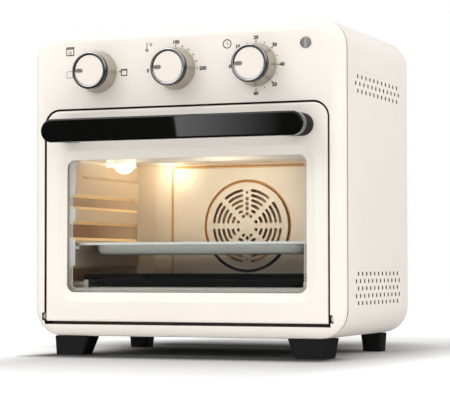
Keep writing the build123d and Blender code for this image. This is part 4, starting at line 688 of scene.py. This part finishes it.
# the marks of each dial: figures as words, x, y and size, then dots, rings, bars and frames in the order drawn
dials = {
    "mode": {
        "x": -95.0, "figures": [], "dots": [(25.3, 0.0, 0.95)],
        "symbols": [
            ("frame", -31.7, 23.2, 9.2, 9.2, 0.95), ("bar", -31.7, 26.0, 8.2, 1.2),
            ("ring", -31.7, 21.6, 2.1, 0.4, 18), ("dot", -31.7, 21.6, 0.7),
            ("frame", -32.2, -0.9, 7.0, 7.0, 0.45),
            ("frame", 30.0, -0.9, 7.2, 7.2, 0.95), ("bar", 30.0, 1.2, 5.4, 0.6),
        ],
    },
    "temperature": {
        "x": -7.5,
        "figures": [("0", -30.7, -0.4, 5.0), ("100", 0.4, 27.3, 5.0), ("200", 29.9, -0.4, 5.0)],
        "dots": [(*polar(23.9, 18.0 * step), 0.75) for step in range(6)],
        "symbols": [
            ("bar", -31.9, 25.0, 0.9, 6.4), ("ring", -31.9, 20.6, 1.7, 0.5, 16), ("dot", -31.9, 20.6, 0.8),
            ("ring", -29.4, 27.5, 0.6, 0.22, 12), ("figure", "C", -27.3, 26.0, 3.6),
        ],
    },
    "timer": {
        "x": 79.6,
        "figures": [(str(10 * step), *polar(27.8, 45.0 * step - 90), 5.0) for step in range(7)],
        "dots": [(*polar(24.0, 22.5 * step - 90), 0.6 if step % 2 else 0.8) for step in range(1, 13)],
        "symbols": [
            ("ring", -30.9, 22.9, 4.7, 0.95, 28), ("bar", -30.9, 24.3, 0.5, 3.0), ("bar", -29.7, 22.6, 2.6, 0.5),
        ],
    },
}


def printDisc(prints, x, y, radius, segments):
    spot = Matrix.Translation((x * mm, y * mm, 0))
    made = bmesh.ops.create_circle(prints, cap_ends=True, segments=segments, radius=radius * mm, matrix=spot)
    return made["verts"]


def printDot(prints, x, y, radius):
    printDisc(prints, x, y, radius, printSheet["dotSegments"])


# only a line of the given width is left along a flat shape's edge
def hollow(prints, verts, width):
    middle = list({face for vert in verts for face in vert.link_faces})
    bmesh.ops.inset_region(prints, faces=middle, thickness=width * mm, use_even_offset=True, use_boundary=True)
    bmesh.ops.delete(prints, geom=middle, context="FACES")


def printRing(prints, x, y, radius, line, segments):
    hollow(prints, printDisc(prints, x, y, radius, segments), line)


def printBar(prints, x, y, width, height):
    spot = Matrix.Translation((x * mm, y * mm, 0)) @ Matrix.Diagonal((width * mm, height * mm, 1, 1))
    return bmesh.ops.create_grid(prints, x_segments=1, y_segments=1, size=0.5, matrix=spot)["verts"]


def printFrame(prints, x, y, width, height, line):
    hollow(prints, printBar(prints, x, y, width, height), line)


def printFigure(prints, words, x, y, size):
    letters = bpy.data.curves.new("figure", "FONT")
    letters.body = words
    letters.size = size * mm
    letters.align_x, letters.align_y = "CENTER", "CENTER"
    letters.resolution_u = printSheet["curveSteps"]
    letters.offset = printSheet["bold"] * mm
    figure = bpy.data.objects.new("figure", letters)
    scene.collection.objects.link(figure)
    bpy.context.view_layer.update()
    flat = bpy.data.meshes.new_from_object(figure.evaluated_get(bpy.context.evaluated_depsgraph_get()))
    flat.transform(Matrix.Translation((x * mm, y * mm, 0)))
    prints.from_mesh(flat)
    bpy.data.objects.remove(figure)
    bpy.data.meshes.remove(flat)


printers = {"figure": printFigure, "dot": printDot, "ring": printRing, "bar": printBar, "frame": printFrame}


# the thickened print comes in another order each run, so its points and faces are put in order of place
def settleOrder(prints):
    for parts, spot in (
        (prints.verts, lambda vert: vert.co[:]),
        (prints.edges, lambda edge: (edge.verts[0].co + edge.verts[1].co)[:]),
        (prints.faces, lambda face: face.calc_center_median()[:] + face.normal[:]),
    ):
        for index, part in enumerate(sorted(parts, key=spot)):
            part.index = index
        parts.sort()


def printDial(name, spec):
    prints = bmesh.new()
    for figure in spec["figures"]:
        printFigure(prints, *figure)
    for dot in spec["dots"]:
        printDot(prints, *dot)
    for kind, *sizes in spec["symbols"]:
        printers[kind](prints, *sizes)
    bmesh.ops.solidify(prints, geom=prints.faces[:], thickness=printSheet["thickness"] * mm)
    bmesh.ops.recalc_face_normals(prints, faces=prints.faces[:])
    stand = Matrix.Translation(place(spec["x"], -printSheet["lift"], printSheet["height"]))
    bmesh.ops.transform(prints, matrix=stand @ Matrix.Rotation(math.radians(90), 4, "X"), verts=prints.verts[:])
    settleOrder(prints)
    mesh = bpy.data.meshes.new(name + "_marks")
    prints.to_mesh(mesh)
    prints.free()
    mesh.materials.append(materials["printGrey"])
    piece = bpy.data.objects.new(name + "_marks", mesh)
    scene.collection.objects.link(piece)
    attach(piece, "body")


for name, spec in dials.items():
    printDial(name, spec)
print("dial marks printed")

# Warm light in the cooking space: the lamp's own, its glow on the back wall, and what the walls throw back.
# The lights themselves stay out of sight, and the lamp's glass throws no shadow
ovenLights = {
    "lampLight": {"spot": (-117, 110, 184.5), "power": 0.045, "colour": (1.0, 0.70, 0.40), "radius": 12},
    "glowLight": {"spot": (-92, 172, 182), "power": 0.075, "colour": (1.0, 0.88, 0.66), "radius": 8},
    "wallLight": {"spot": (-8, 96, 168), "power": 0.31, "colour": (1.0, 0.90, 0.76), "radius": 30},
}


def makeOvenLight(name, spec):
    data = bpy.data.lights.new(name, "POINT")
    data.energy = spec["power"]
    data.color = spec["colour"]
    data.shadow_soft_size = spec["radius"] * mm
    lamp = bpy.data.objects.new(name, data)
    lamp.location = place(*spec["spot"])
    lamp.visible_camera = False
    lamp.visible_glossy = False
    lamp.visible_transmission = False
    scene.collection.objects.link(lamp)


for name, spec in ovenLights.items():
    makeOvenLight(name, spec)
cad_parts["lamp_bulb"].visible_shadow = False
print("oven light set")
